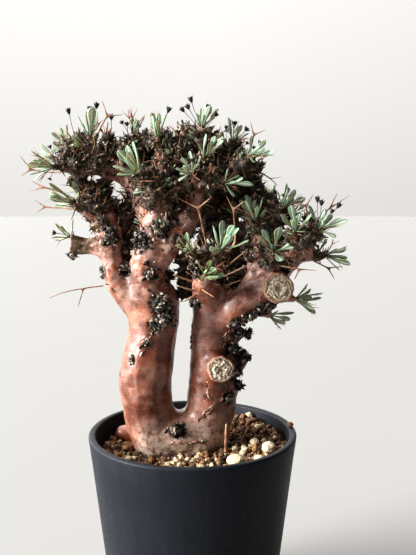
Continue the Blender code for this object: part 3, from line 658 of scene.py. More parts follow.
def old_bark(bark):
    """Waxy red-brown bark: dusty at the soil, pink bloom on the limbs, dead skin on young wood; painted
    shade and a painted highlight in its mottle, and a painted sheen in its pale haze.
    """
    finish = Finish("old_bark", specular_ior_level=0.30, coat_weight=0.32, coat_roughness=0.27)
    z = finish.part("Z")
    young, scab = finish.attribute("young"), finish.attribute("scab")
    patches = finish.cloud(7 * MM, 5, 0.58)
    bands = finish.cloud(1.3 * MM, 3, 0.5, stretch=(12, 12, 1), twist=0.3)
    # The mottle is partly the bark's own red blotches, partly painted light: its dark stop is painted shade
    # and its pale top stop (0.37, 0.160, 0.105) a painted highlight, both strewn at random.
    base = finish.ramp(patches, (0.30, bark.dark[:]), (0.45, shaded(bark.red, 0.70)),
                       (0.57, bark.red[:]), (0.76, (0.37, 0.160, 0.105)))
    amber = finish.level(finish.cloud(16 * MM, 3), 0.48, 0.64, 0.0, 0.5)
    base = finish.mix(amber, base, (0.35, 0.115, 0.042))
    # The level bands lay the dark bark in narrow stripes: partly the bark's own fine banding, partly
    # painted shade in its folds.
    base = finish.mix(finish.level(bands, 0.34, 0.58, 0.14, 0.0), base, shaded(bark.dark, 1.1))
    bloom = finish.level(finish.cloud(5 * MM, 5, 0.65), 0.44, 0.60)
    high = finish.maths("MULTIPLY", finish.level(z, 0.170, 0.205), bloom)
    base = finish.mix(finish.maths("MULTIPLY", high, 0.72), base, bark.pink[:])
    # Pale pink haze at random: partly waxy bloom, partly a painted sheen tinted to match the highlight of
    # the lit side.
    pink_haze_and_painted_sheen = finish.level(finish.cloud(11 * MM, 4, 0.6), 0.48, 0.66, 0.0, 0.45)
    base = finish.mix(pink_haze_and_painted_sheen, base, (0.42, 0.26, 0.21))
    dust = finish.maths("MULTIPLY", finish.level(z, 0.129, 0.107),
                        finish.level(finish.cloud(3.4 * MM, 6, 0.75), 0.38, 0.53))
    dust = finish.maths("MULTIPLY", dust, finish.level(finish.part("X"), -0.035, -0.029))
    base = finish.mix(finish.maths("MULTIPLY", dust, 0.9), base, (0.66, 0.54, 0.45))
    skin = finish.ramp(finish.cloud(2.2 * MM, 5, 0.7), (0.36, shaded(bark.scab, 0.5)),
                       (0.48, shaded(bark.olive, 0.5)), (0.58, bark.olive[:]), (0.72, (0.30, 0.22, 0.14)))
    base = finish.mix(young, base, skin)
    flecks = finish.maths("MULTIPLY", finish.level(finish.cells(2.2 * MM, (1.5, 1.5, 1)), 0.20, 0.08),
                          finish.level(finish.cloud(9 * MM, 2), 0.46, 0.58))
    base = finish.mix(finish.maths("MULTIPLY", flecks, 0.6), base, (0.55, 0.38, 0.28))
    ragged = finish.maths("ADD", scab, finish.level(finish.cloud(1.6 * MM, 5, 0.7), 0.3, 0.7, -0.6, 0.6))
    scabbed = finish.level(ragged, 0.45, 0.75)
    dead = finish.ramp(finish.cloud(1.0 * MM, 4, 0.7), (0.40, shaded(bark.scab, 0.4)),
                       (0.55, bark.scab[:]), (0.72, shaded(bark.scab, 5.5)))
    base = finish.mix(scabbed, base, dead)
    rough = finish.level(patches, 0.35, 0.7, 0.46, 0.30)
    rough = finish.maths("ADD", rough, finish.maths("MULTIPLY", finish.maths("MAXIMUM", young, scabbed),
                                                    0.45))
    grain = finish.maths("ADD", finish.cloud(0.9 * MM, 4, 0.6),
                         finish.maths("MULTIPLY", bands, 0.6))
    return finish.dress(base, rough, grain, 0.00022)


def dead_matter(name, *stops, wide=0.9 * MM):
    """Dry dead growth whose shade changes from bit to bit."""
    finish = Finish(name, roughness=0.88)
    base = finish.ramp(finish.attribute("tone"), *stops)
    shade = finish.level(finish.cloud(wide, 4, 0.65), 0.3, 0.65, 0.45, 1.2)
    base = finish.dimmed(base, shade)
    return finish.dress(base, None, finish.cloud(wide * 0.5, 4), 0.0002)


def sawn_wood():
    """Weathered end grain in a swirl of pale and dark rings."""
    finish = Finish("sawn_wood", roughness=0.8)
    ring = finish.attribute("tone")
    wave = finish.maths("ADD", finish.maths("MULTIPLY", ring, 2.4),
                        finish.maths("MULTIPLY", finish.cloud(4.0 * MM, 3, 0.5), 4.0))
    stripe = finish.maths("PINGPONG", wave, 0.5)
    base = finish.ramp(stripe, (0.02, (0.26, 0.185, 0.125)), (0.14, (0.44, 0.345, 0.245)),
                       (0.30, (0.60, 0.50, 0.38)), (0.5, (0.70, 0.61, 0.49)))
    worn = finish.level(finish.cloud(2.2 * MM, 4, 0.7), 0.34, 0.48, 0.55, 0.0)
    base = finish.mix(worn, base, (0.10, 0.072, 0.050))
    rim = finish.level(ring, 0.80, 0.95)
    base = finish.mix(rim, base, (0.34, 0.19, 0.13))
    return finish.dress(base, None, finish.maths("ADD", stripe, finish.cloud(0.6 * MM, 4)), 0.0006)


def leaf_skin(leaf):
    """Waxy leaf: bloom-covered face, pale margin, yellowish foot."""
    finish = Finish("leaf_skin", roughness=0.50, subsurface_weight=0.06, coat_weight=0.10,
                    coat_roughness=0.4)
    tone = finish.attribute("tone")
    along, across = finish.uv("X"), finish.uv("Y")
    face = finish.ramp(tone, (0.0, shaded(leaf.glaucous, 1.35)), (0.35, leaf.glaucous[:]),
                       (0.65, (0.095, 0.170, 0.080)), (1.0, leaf.green[:]))
    mottle = finish.level(finish.cloud(1.4 * MM, 4), 0.3, 0.7, 0.72, 1.15)
    face = finish.dimmed(face, mottle)
    edge = finish.maths("ABSOLUTE", finish.maths("SUBTRACT", across, 0.5))
    face = finish.mix(finish.level(edge, 0.445, 0.485, 0.0, 0.9), face, leaf.margin[:])
    face = finish.mix(finish.level(along, 0.97, 1.0, 0.0, 0.6), face, leaf.margin[:])
    face = finish.mix(finish.level(along, 0.26, 0.0, 0.0, 0.6), face, (0.30, 0.30, 0.12))
    return finish.dress(face, finish.level(finish.cloud(0.8 * MM, 3), 0.3, 0.7, 0.40, 0.60),
                        finish.cloud(0.35 * MM, 3), 0.00005)


# --- pieces -----------------------------------------------------------------------
class PieceOperator:
    """What the piece operators share."""

    bl_options = {"REGISTER", "UNDO"}


class SUCCULENT_OT_pot(PieceOperator, bpy.types.Operator):
    """The turned pot with its rounded lip and drain holes"""

    bl_idname = "succulent.pot"
    bl_label = "Pot"

    def execute(self, context):
        pot = context.scene.succulent_pot
        lean = math.tan(pot.taper)
        base = RIM_RADIUS - RIM_Z * lean

        def outer(z):
            return base + z * lean

        def inner(z):
            return outer(z) - pot.wall

        def rounding(middle, z, radius, start, end, steps):
            """Points (radius from the axis, height) along an arc whose ends are in degrees."""
            turns = [math.radians(start + (end - start) * n / steps) for n in range(steps + 1)]
            return [(middle + radius * math.cos(t), z + radius * math.sin(t)) for t in turns]

        lip_z = RIM_Z - pot.lip
        sides = [pot.foot + (lip_z - pot.foot) * n / 8 for n in range(1, 8)]
        insides = [pot.wall + (lip_z - pot.wall) * share for share in (0.75, 0.5, 0.25, 0.0)]
        profile = [*rounding(base - pot.foot, pot.foot, pot.foot, -90, 0, 3),
                   *((outer(z), z) for z in sides),
                   *rounding(RIM_RADIUS - pot.lip, lip_z, pot.lip, 0, 90, 5),
                   *rounding(inner(RIM_Z) + pot.lip, lip_z, pot.lip, 90, 180, 5),
                   *((inner(z), z) for z in insides)]
        shell = drawn_out("pot_shell", pot.sides, [(0, 0, z, r, r) for r, z in profile])
        cutters = []
        for number in range(pot.holes):
            turn = math.tau * (number + 0.5) / pot.holes
            x, y = pot.hole_ring * math.cos(turn), pot.hole_ring * math.sin(turn)
            cutter = drawn_out("hole", 32, [(x, y, -pot.wall, pot.hole_radius, pot.hole_radius),
                                            (x, y, 2 * pot.wall, pot.hole_radius, pot.hole_radius)])
            cut = shell.modifiers.new("hole", "BOOLEAN")
            cut.operation = "DIFFERENCE"
            cut.object = cutter
            cutters.append(cutter)
        apply_modifiers(shell)
        drop(*cutters)
        settle(shell, "pot_shell", charcoal_ceramic(pot), "pot_clay", "pot")
        pick(shell)
        bpy.ops.object.shade_smooth_by_angle(angle=math.radians(35))
        return {"FINISHED"}


class SUCCULENT_OT_bark(PieceOperator, bpy.types.Operator):
    """The one living stem, trunks and limbs together, with its folds and knobs"""

    bl_idname = "succulent.bark"
    bl_label = "Bark"

    def execute(self, context):
        settings = context.scene.succulent_bark
        piece = sewn_copy("stem")
        smoothed(piece, 2)
        remeshed(piece, settings.voxel)
        relaxed(piece, 5)
        apply_modifiers(piece)
        young = self.youth(piece)
        scabs = self.scabs(piece)
        for vertex, normal, share, scab in zip(
                piece.data.vertices, [v.normal.copy() for v in piece.data.vertices], young, scabs):
            vertex.co += normal * self.relief(vertex.co / MM, normal, max(share, scab), settings)
        set_attribute(piece.data, "young", young)
        set_attribute(piece.data, "scab", scabs)
        settle(piece, "stem_bark", old_bark(settings), "bark", "stem")
        return {"FINISHED"}

    @staticmethod
    def youth(piece):
        """0 on thick old wood, 1 on thin young shoots, from how far through the wood goes."""
        ground = Ground(piece)
        thick = np.empty(len(piece.data.vertices))
        for index, vertex in enumerate(piece.data.vertices):
            start = vertex.co - vertex.normal * SKIN_DEPTH
            through = ground.tree.ray_cast(start, -vertex.normal)[3]
            thick[index] = THICKEST if through is None else through
        edges = np.empty(len(piece.data.edges) * 2, np.int32)
        piece.data.edges.foreach_get("vertices", edges)
        a, b = edges.reshape(-1, 2).T
        for _ in range(12):
            total, count = thick.copy(), np.ones(len(thick))
            for here, there in ((a, b), (b, a)):
                np.add.at(total, here, thick[there])
                np.add.at(count, here, 1)
            thick = total / count
        heights = mesh_arrays(piece.data)[0][:, 2]
        young = np.clip((OLD_THICKNESS - thick) / YOUNG_SPAN, 0, 1)
        return young * np.clip((heights - YOUNG_FROM) / YOUNG_FADE, 0, 1)

    @staticmethod
    def scabs(piece):
        """1 under the middle of each crust, 0 away from them all."""
        ground = Ground(piece)
        points = mesh_arrays(piece.data)[0]
        scabs = np.zeros(len(points))
        for (x, z), spread, _ in BLACK_CRUST:
            away = np.linalg.norm(points - np.array(ground.front(x, z)[0]), axis=1) / (spread * MM)
            scabs = np.maximum(scabs, np.clip(1.7 - away * 1.3, 0, 1))
        return scabs

    @staticmethod
    def relief(point, normal, young, settings):
        """How far the bark stands out at a point in millimetres."""
        swell = noise.fractal(point / 15, 1.0, 2.0, 3) * settings.swelling
        level = Vector((point.x / 13, point.y / 13, point.z / 2.3))
        fold = 0.5 - abs(noise.noise(level)) * 3.2
        wrinkle = -max(0.0, fold) * settings.wrinkle * (1 - young) * (1 - abs(normal.z))
        high = min(1.0, max(0.0, (point.z - 192) / 14))
        knob = (noise.turbulence(point / 4.6, 3, False) - 0.55) * settings.gnarl
        return swell + wrinkle + knob * (0.12 + 0.88 * max(young, 0.45 * high))


class SUCCULENT_OT_sawn_faces(PieceOperator, bpy.types.Operator):
    """The two sawn limb ends with their healed rims"""

    bl_idname = "succulent.sawn_faces"
    bl_label = "Sawn faces"

    def execute(self, context):
        bark = Ground(bpy.data.objects["stem_bark"])
        finish = sawn_wood()
        for number, (name, ((x, z), radius)) in enumerate(SAWN_FACES.items()):
            point, _ = bark.front(x, z)
            way = Vector((0.14, -0.985, 0.06 + 0.08 * number)).normalized()
            face = drawn_out(name, 40, [(0, 0, height, share * radius, share * radius)
                                        for height, share in SAWN_PROFILE])
            smoothed(face, 2)
            apply_modifiers(face)
            reaches = []
            for vertex in face.data.vertices:
                reach = math.hypot(vertex.co.x, vertex.co.y) / radius
                reaches.append(reach)
                turn = math.atan2(vertex.co.y, vertex.co.x)
                drift = noise.noise(vertex.co / 3.4 + Vector((9 * number, 0, 0)))
                swirl = math.sin(turn + reach * 12 + drift * 5 + number) * 0.30 * (1 - reach * 0.5)
                rough = noise.fractal(vertex.co / 1.3 + Vector((9 * number, 0, 0)), 0.9, 2, 4)
                vertex.co.z += (swirl + 0.45 * rough + 1.3 * (1 - reach)) * min(1.0, reach * 3)
                edge = 1 + 0.09 * noise.noise(Vector((math.cos(turn), math.sin(turn), number)) * 1.9)
                vertex.co.x *= edge
                vertex.co.y *= edge * 0.97
            set_attribute(face.data, "tone", reaches)
            place = Matrix.Translation(point - way * 0.4 * MM)
            face.data.transform(place @ way.to_track_quat("Z", "Y").to_matrix().to_4x4()
                                @ Matrix.Scale(MM, 4))
            settle(face, name, finish, "bark")
        return {"FINISHED"}


def crust_masters():
    """Flake, crumb, splinter and curl, each 1 long."""
    flake = drawn_out("flake", 4, [(0, 0, 0, 0.28, 0.08), (0.05, 0.05, 0.4, 0.5, 0.10),
                                   (-0.05, 0.16, 0.75, 0.38, 0.07), (0.04, 0.30, 1.0, 0.14, 0.03)])
    crumb = lump("crumb", 1, 0.9, 3, (1.0, 0.8, 1.1))
    splinter = drawn_out("splinter", 4, [(0, 0, 0, 0.5, 0.35), (0.1, 0.1, 0.4, 0.40, 0.30),
                                         (-0.1, 0.0, 0.8, 0.28, 0.2), (0.05, 0.1, 1.0, 0.06, 0.05)])
    curl = drawn_out("curl", 4, [(0, 0, 0, 0.30, 0.07), (0, 0.18, 0.28, 0.42, 0.08),
                                 (0.05, 0.42, 0.42, 0.40, 0.08), (0.0, 0.62, 0.30, 0.22, 0.05)])
    return [flake, crumb, splinter, curl]


def crust_at(bark, chance, point, normal, spread, count, sizes, lift):
    """Bits of crust heaped round one place on the bark."""
    plants = []
    across = normal.orthogonal().normalized()
    beside = normal.cross(across)
    for _ in range(count):
        reach = abs(chance.gauss(0, 0.52)) * spread * MM
        turn = chance.uniform(0, math.tau)
        near = point + (across * math.cos(turn) + beside * math.sin(turn)) * reach
        place, out, *_ = bark.tree.find_nearest(near + normal * 2 * MM)
        rise = chance.random() ** 1.5 * lift * MM * max(0.2, 1 - reach / (spread * MM * 1.6))
        kind = chance.choice((0, 0, 0, 1, 2, 3))
        way = (out * 0.7 + jitter(chance) * 0.6).normalized()
        long = chance.uniform(*sizes) * MM
        wide = long * (1.0 if kind == 1 else chance.uniform(0.45, 0.9) if kind != 2 else 0.28)
        tone = chance.random()
        plants.append((kind, aimed(place + out * (rise - 0.3 * MM), way, long, wide,
                                   chance.uniform(0, math.tau)), tone))
    return plants


class SUCCULENT_OT_crust(PieceOperator, bpy.types.Operator):
    """Black dead crust and pale peeling flakes on the trunks and limbs"""

    bl_idname = "succulent.crust"
    bl_label = "Crust"

    def execute(self, context):
        bark = Ground(bpy.data.objects["stem_bark"])
        chance = random.Random(SEEDS["crust"])
        masters = crust_masters()
        plants = []
        for (x, z), spread, count in BLACK_CRUST:
            point, normal = bark.front(x, z)
            plants += crust_at(bark, chance, point, normal, spread, count, (1.3, 3.6), spread * 0.62)
        black = planted("black_crust", masters, plants)
        # The crust's tone runs from near-black to pale grey-tan: partly the crust's own colours, partly
        # painted shade between the flakes and painted highlights on their lit faces.
        settle(black, "black_crust", dead_matter(
            "black_crust", (0.0, (0.010, 0.008, 0.007)), (0.32, (0.034, 0.027, 0.022)),
            (0.58, (0.140, 0.110, 0.090)), (0.88, (0.50, 0.42, 0.34))), "bark")
        plants = []
        for start, end, count in PEELING:
            for _ in range(count):
                share = chance.random()
                x = start[0] + (end[0] - start[0]) * share + chance.gauss(0, 0.5)
                z = start[1] + (end[1] - start[1]) * share + chance.gauss(0, 0.5)
                point, normal = bark.front(x, z)
                line = Vector((end[0] - start[0], 0, end[1] - start[1])).normalized()
                way = (line * chance.choice((-1, 1)) + normal * 0.15 + jitter(chance) * 0.22)
                long = chance.uniform(1.8, 4.2) * MM
                place = aimed(point - normal * 0.15 * MM, way.normalized(), long, long * 0.5,
                              chance.uniform(-0.4, 0.4), long * 0.3)
                plants.append((chance.choice((0, 3)), place, chance.random()))
        pale = planted("peeling_bark", masters, plants)
        settle(pale, "peeling_bark", dead_matter(
            "peeling_bark", (0.0, (0.30, 0.11, 0.06)), (0.4, (0.42, 0.20, 0.12)),
            (0.7, (0.60, 0.42, 0.32)), (1.0, (0.70, 0.58, 0.48))), "bark")
        drop(*masters)
        return {"FINISHED"}


def crowded(point, seats):
    """Whether a rosette stands too near for anything more to grow here."""
    return min((point - seat).length for seat in seats) < ROSETTE_CLEARANCE


def crown_weight(bark_mesh, crown_base):
    """Where dead growth stands: on young shoots and the top of the crown, less on undersides."""
    young = np.empty(len(bark_mesh.vertices), np.float32)
    bark_mesh.attributes["young"].data.foreach_get("value", young)

    def weigh(points, normals, corners):
        height = points[:, 2] - 0.020 * np.clip((-points[:, 0] - 0.030) / 0.010, 0, 1)
        above = np.clip((height - crown_base) / 0.012, 0, 1)
        top = np.clip((height - crown_base - 0.030) / 0.015, 0, 1)
        side = np.clip(0.80 + normals[:, 2] * 0.9, 0.06, 1.0)
        return above * side * np.maximum(0.03 + young[corners].mean(1), top)
    return weigh


class SUCCULENT_OT_thatch(PieceOperator, bpy.types.Operator):
    """The matted dead matter that fills the crown between the shoots"""

    bl_idname = "succulent.thatch"
    bl_label = "Thatch"

    def execute(self, context):
        crown = context.scene.succulent_crown
        bark = Ground(bpy.data.objects["stem_bark"])
        chance = random.Random(SEEDS["thatch"])
        seats = [rosette_seat(node, bark)[0] for node in ROSETTES]
        master = lump("thatch_lump", 2, 0.5, 1)
        plants = []
        weigh = crown_weight(bark.mesh, crown.crown_base + 0.006)
        for point, normal in bark.samples(crown.lumps, SEEDS["lumps"], weigh):
            if crowded(point, seats):
                continue
            wide = chance.uniform(*LUMP_WIDTH) * MM
            place = point + normal * wide * 0.2
            plants.append((0, aimed(place, (normal + jitter(chance) * 0.4).normalized(), wide,
                                    wide * chance.uniform(0.7, 1.0)), 0.5))
        for x, y, z, wide in LODGED_THATCH:
            for _ in range(3):
                place = Vector((x, y, z)) * MM + jitter(chance) * 2.2 * MM
                plants.append((0, aimed(place, jitter(chance).normalized(), wide * 0.8 * MM,
                                        wide * 0.65 * MM), 0.5))
        piece = planted("crown_thatch", [master], plants)
        remeshed(piece, crown.voxel)
        relaxed(piece, 1)
        apply_modifiers(piece)
        tones = []
        for vertex, normal in zip(piece.data.vertices,
                                  [v.normal.copy() for v in piece.data.vertices]):
            point = vertex.co / MM
            tear = noise.turbulence(point / 2.2, 4, True)
            vertex.co += normal * (tear - 0.75) * 2.0 * MM
            tones.append(min(1.0, max(0.0, 0.45 + noise.noise(point / 1.7) * 0.9)))
        for layer in list(piece.data.attributes):
            if layer.name == "tone":
                piece.data.attributes.remove(layer)
        set_attribute(piece.data, "tone", tones)
        # The thatch is mostly near-black: partly dead matter's own colour, partly painted shade inside the
        # crown and in the fork.
        settle(piece, "crown_thatch", dead_matter(
            "dead_thatch", (0.0, (0.008, 0.006, 0.005)), (0.36, (0.040, 0.027, 0.019)),
            (0.66, (0.130, 0.086, 0.060)), (0.9, (0.34, 0.25, 0.18))), "bark")
        drop(master)
        return {"FINISHED"}


def stub_masters():
    """Dead stalk stubs, 1 long and about 1 across at the foot, some forked."""
    straight = drawn_out("stub", 4, [(0, 0, -0.08, 0.55, 0.55), (0.1, 0, 0.45, 0.40, 0.42),
                                     (0.25, 0.1, 0.85, 0.34, 0.30), (0.3, 0.15, 1.0, 0.16, 0.18)])
    bent = drawn_out("stub", 4, [(0, 0, -0.08, 0.50, 0.50), (0.35, 0.2, 0.35, 0.42, 0.38),
                                 (0.15, 0.7, 0.72, 0.30, 0.30), (-0.3, 0.9, 1.0, 0.12, 0.12)])
    knobbed = drawn_out("stub", 4, [(0, 0, -0.08, 0.40, 0.40), (0.0, 0.1, 0.55, 0.32, 0.32),
                                    (0.1, 0.1, 0.74, 0.85, 0.75), (0.1, 0.2, 0.95, 0.55, 0.6),
                                    (0.1, 0.2, 1.0, 0.15, 0.15)])
    fork = joined("stub", drawn_out("stub", 4, [(0, 0, -0.08, 0.5, 0.5), (0.1, 0, 0.55, 0.36, 0.36),
                                                (0.9, 0.1, 1.0, 0.1, 0.1)]),
                  drawn_out("prong", 4, [(0.1, 0, 0.45, 0.3, 0.3), (-0.8, 0.2, 0.92, 0.08, 0.08)]))
    return [straight, bent, knobbed, fork]


def spine_masters():
    """Forked spines, 1 long: a shank, two or three sharp prongs."""
    made = []
    for seed, prongs in enumerate((((0.30, 0.02), (-0.26, 0.05)), ((0.22, -0.10), (-0.34, 0.08)),
                                   ((0.30, 0.10), (-0.22, 0.18), (0.02, -0.26)))):
        fork = 0.45 + 0.08 * seed
        shank = drawn_out("spine", 5, [(0, 0, -0.03, 0.040, 0.040), (0.02, 0, fork * 0.5, 0.028, 0.028),
                                       (0, 0, fork, 0.030, 0.030)])
        tips = [drawn_out("prong", 5, [(0, 0, fork - 0.02, 0.024, 0.024),
                                       (x * 0.5, y * 0.5, (1 + fork) / 2, 0.016, 0.016),
                                       (x, y, 1.0, 0.004, 0.004)]) for x, y in prongs]
        made.append(joined("spine", shank, *tips))
    return made


def head_master():
    """A dried flower head on its stalk, 1 long, the head at the top."""
    stalk = drawn_out("head", 5, [(0, 0, -0.05, 0.030, 0.030), (0.03, 0.01, 0.45, 0.022, 0.022),
                                  (0, 0, 0.84, 0.030, 0.030)])
    cup = drawn_out("cup", 6, [(0, 0, 0.78, 0.03, 0.03), (0, 0, 0.84, 0.13, 0.12),
                               (0.01, 0, 0.92, 0.15, 0.15), (0.0, 0.0, 1.0, 0.10, 0.11)])
    scraps = []
    for number in range(5):
        turn = math.tau * number / 5 + 0.3
        x, y = math.cos(turn), math.sin(turn)
        scraps.append(drawn_out("scrap", 4, [
            (x * 0.08, y * 0.08, 0.84, 0.05, 0.03), (x * 0.17, y * 0.17, 0.93, 0.05, 0.03),
            (x * 0.22, y * 0.20, 1.0 + 0.03 * (number % 2), 0.02, 0.02)]))
    return joined("head", stalk, cup, *scraps)


class SUCCULENT_OT_stubble(PieceOperator, bpy.types.Operator):
    """Dead stubs, curled dead leaves, forked spines and dried flower heads all over the crown"""

    bl_idname = "succulent.stubble"
    bl_label = "Stubble"

    def execute(self, context):
        crown = context.scene.succulent_crown
        bark = Ground(bpy.data.objects["stem_bark"])
        thatch = Ground(bpy.data.objects["crown_thatch"])
        weigh = crown_weight(bark.mesh, crown.crown_base)
        chance = random.Random(SEEDS["stubble"])

        def on_thatch(_points, normals, _corners):
            return np.clip(0.75 + normals[:, 2], 0.1, 1.0)

        def scatter(count, seed):
            half = count // 2
            return (bark.samples(half, seed, weigh)
                    + thatch.samples(count - half, seed + 1, on_thatch))

        self.stubs(chance, crown, scatter(crown.stubs, SEEDS["stubs"]))
        self.curls(chance, crown, scatter(crown.curls, SEEDS["curls"]))
        self.spines(chance, crown, bark, bark.samples(crown.spines, SEEDS["spines"], weigh))
        self.heads(chance, crown, bark, bark.samples(crown.heads, SEEDS["heads"], weigh))
        return {"FINISHED"}

    @staticmethod
    def stubs(chance, crown, places):
        plants = []
        for foot, tip in GREY_TWIGS:
            foot, tip = Vector(foot) * MM, Vector(tip) * MM
            plants.append((0, aimed(foot, (tip - foot).normalized(), (tip - foot).length, 1.2 * MM),
                           chance.uniform(0.86, 0.95)))
        for point, normal in places:
            way = (normal * 0.8 + UP * 0.35 + jitter(chance) * 0.5).normalized()
            long = chance.uniform(*crown.stub_length)
            wide = chance.uniform(*crown.stub_width)
            plants.append((chance.choice((0, 0, 1, 1, 2, 3)),
                           aimed(point, way, long, wide, chance.uniform(0, math.tau)),
                           chance.random()))
        # Most stubs are near-black: partly the dead stalks' own colour, partly painted shade of the gaps
        # inside the crown.
        strewn("dead_stubs", stub_masters(), plants, dead_matter(
            "dead_stub", (0.0, (0.013, 0.009, 0.007)), (0.32, (0.050, 0.033, 0.023)),
            (0.58, (0.17, 0.110, 0.072)), (0.82, (0.46, 0.36, 0.26)), (1.0, (0.44, 0.18, 0.08))),
            "bark")

    @staticmethod
    def curls(chance, crown, places):
        plants = []
        for point, normal in places:
            way = (normal * 0.6 + jitter(chance) * 0.6).normalized()
            long = chance.uniform(*crown.curl_length)
            plants.append((chance.choice((0, 0, 3, 3)),
                           aimed(point - normal * 0.2 * MM, way, long, long * chance.uniform(0.4, 0.7),
                                 chance.uniform(0, math.tau)), chance.random()))
        strewn("dead_leaves", crust_masters(), plants, dead_matter(
            "dead_leaf", (0.0, (0.014, 0.010, 0.008)), (0.36, (0.062, 0.043, 0.031)),
            (0.64, (0.24, 0.175, 0.122)), (0.9, (0.60, 0.51, 0.40))), "bark")

    @staticmethod
    def spines(chance, crown, bark, places):
        plants = []

        def stick(point, way, lengths):
            long = chance.uniform(*lengths)
            plants.append((chance.randrange(3),
                           aimed(point, way, long, long, chance.uniform(0, math.tau)),
                           chance.random()))

        for point, normal in places:
            way = (normal * 0.8 + UP * 0.45 + jitter(chance) * 0.35).normalized()
            stick(point, way, crown.spine_length)
        for node in ROSETTES:
            seat, facing, _ = rosette_seat(node, bark)
            for _ in range(chance.choice((1, 2, 3))):
                way = (facing + jitter(chance) * 0.5).normalized()
                stick(seat, way, crown.leafy_spine_length)
        strewn("fine_spines", spine_masters(), plants, dead_matter(
            "fine_spine", (0.0, (0.090, 0.040, 0.022)), (0.5, (0.26, 0.11, 0.055)),
            (1.0, (0.42, 0.22, 0.13)), wide=2 * MM), "dry_stalk")

    @staticmethod
    def heads(chance, crown, bark, places):
        plants = []
        for head in FLOWER_HEADS:
            top = Vector(head) * MM
            way = top - bark.tree.find_nearest(top)[0]
            long = min(way.length, 16 * MM)
            plants.append((0, aimed(top - way.normalized() * long, way.normalized(), long,
                                    chance.uniform(5.5, 8) * MM, chance.uniform(0, math.tau)),
                           chance.uniform(0, 0.6)))
        for point, normal in places:
            way = (normal * 0.6 + UP * 0.7 + jitter(chance) * 0.25).normalized()
            long = chance.uniform(*crown.head_length)
            plants.append((0, aimed(point, way, long, chance.uniform(*crown.head_width),
                                    chance.uniform(0, math.tau)), chance.random()))
        strewn("dried_flower_heads", [head_master()], plants, dead_matter(
            "dried_head", (0.0, (0.014, 0.010, 0.009)), (0.6, (0.040, 0.028, 0.022)),
            (1.0, (0.17, 0.11, 0.07))), "dry_stalk")


def leaf_masters(leaf):
    """Spoon-shaped leaves, 1 long up +Z with the upper face to +Y, from lying back to curling in."""
    outline = ((0.0, 0.30), (0.14, 0.27), (0.36, 0.40), (0.56, 0.74), (0.72, 0.99), (0.86, 0.95),
               (0.96, 0.56), (1.0, 0.14))
    made = []
    for bend in (-0.10, 0.04, 0.16):
        sections = []
        for along, share in outline:
            thick = leaf.thickness_share / 2 * (1.0 - 0.55 * along) * (0.5 if along > 0.95 else 1.0)
            sections.append((0, bend * along * along, along, leaf.width_share / 2 * share, thick))
        piece = drawn_out("leaf", 8, sections)
        half = {round(s[2], 3): s[3] for s in sections}
        layer = piece.data.uv_layers.new(name="UVMap")
        for loop in piece.data.loops:
            point = piece.data.vertices[loop.vertex_index].co
            across = point.x / half[round(point.z, 3)]
            layer.data[loop.index].uv = (point.z, 0.5 + 0.5 * across)
        for vertex in piece.data.vertices:
            vertex.co.y += 1.6 * vertex.co.x ** 2
        made.append(piece)
    return made


def rosette_plants(chance, seat, way, reach, count, widest, tone):
    """The leaves of one rosette, the inner ones upright and the outer ones spread."""
    plants = []
    turned = way.to_track_quat("Z", "Y").to_matrix()
    start = chance.uniform(0, math.tau)
    for number in range(count):
        share = number / max(1, count - 1)
        bearing = start + number * LEAF_TURN + chance.gauss(0, 0.12)
        opening = math.radians(8 + (widest - 8) * share ** 0.8) + chance.gauss(0, 0.14)
        out = Vector((math.cos(bearing), math.sin(bearing), 0))
        ahead = turned @ (out * math.sin(opening) + UP * math.cos(opening))
        inward = turned @ (UP * math.sin(opening) - out * math.cos(opening))
        across = inward.cross(ahead)
        long = reach * (0.62 + 0.40 * math.sin(math.pi * (0.25 + 0.6 * share)))
        long *= chance.uniform(0.62, 1.08)
        wide = long * chance.uniform(0.80, 1.12)
        twist = Matrix.Rotation(chance.gauss(0, 0.25), 4, "Z")
        place = Matrix((across, inward, ahead)).transposed().to_4x4()
        foot = seat + turned @ (out * 0.9 * MM) + way * 0.6 * MM * (1 - share)
        plants.append((chance.choice((0, 1, 1, 2) if share > 0.5 else (1, 2, 2)),
                       Matrix.Translation(foot) @ place @ twist
                       @ Matrix.Diagonal((wide, long, long, 1)),
                       min(1.0, max(0.0, tone + chance.gauss(0, 0.16)))))
    return plants


class SUCCULENT_OT_leaves(PieceOperator, bpy.types.Operator):
    """The leaf rosettes and the small tufts between them"""

    bl_idname = "succulent.leaves"
    bl_label = "Leaves"

    def execute(self, context):
        crown = context.scene.succulent_crown
        bark = Ground(bpy.data.objects["stem_bark"])
        chance = random.Random(SEEDS["leaves"])
        masters = leaf_masters(context.scene.succulent_leaf)
        finish = leaf_skin(context.scene.succulent_leaf)
        seats = []
        for node in ROSETTES:
            seat, way, reach = rosette_seat(node, bark)
            seats.append(seat)
            count = 4 + round(reach / MM * 0.2) + chance.choice((0, 1, 2))
            tone = 0.85 if node in YOUNG_GREEN else chance.uniform(0.05, 0.55)
            plants = rosette_plants(chance, seat - way * 0.5 * MM, way, reach * 1.02, count,
                                    chance.uniform(40, 60), tone)
            piece = planted(node, masters, plants)
            settle(piece, "leaves_" + node[-2:], finish, "leaf", node)
        plants = []
        weigh = crown_weight(bark.mesh, crown.crown_base + 0.012)
        for point, normal in bark.samples(crown.tufts * 6, SEEDS["tufts"], weigh):
            if crowded(point, seats):
                continue
            seats.append(point)
            way = (normal * 0.7 + UP * 0.5 + jitter(chance) * 0.2).normalized()
            reach = chance.uniform(*crown.tuft_reach)
            plants += rosette_plants(chance, point - normal * 0.3 * MM, way, reach,
                                     chance.choice((2, 3, 3, 4, 5)), 34, chance.uniform(0.05, 0.8))
            if len(seats) >= len(ROSETTES) + crown.tufts:
                break
        tufts = planted("crown_leaf_tufts", masters, plants)
        settle(tufts, "crown_leaf_tufts", finish, "leaf")
        drop(*masters)
        return {"FINISHED"}


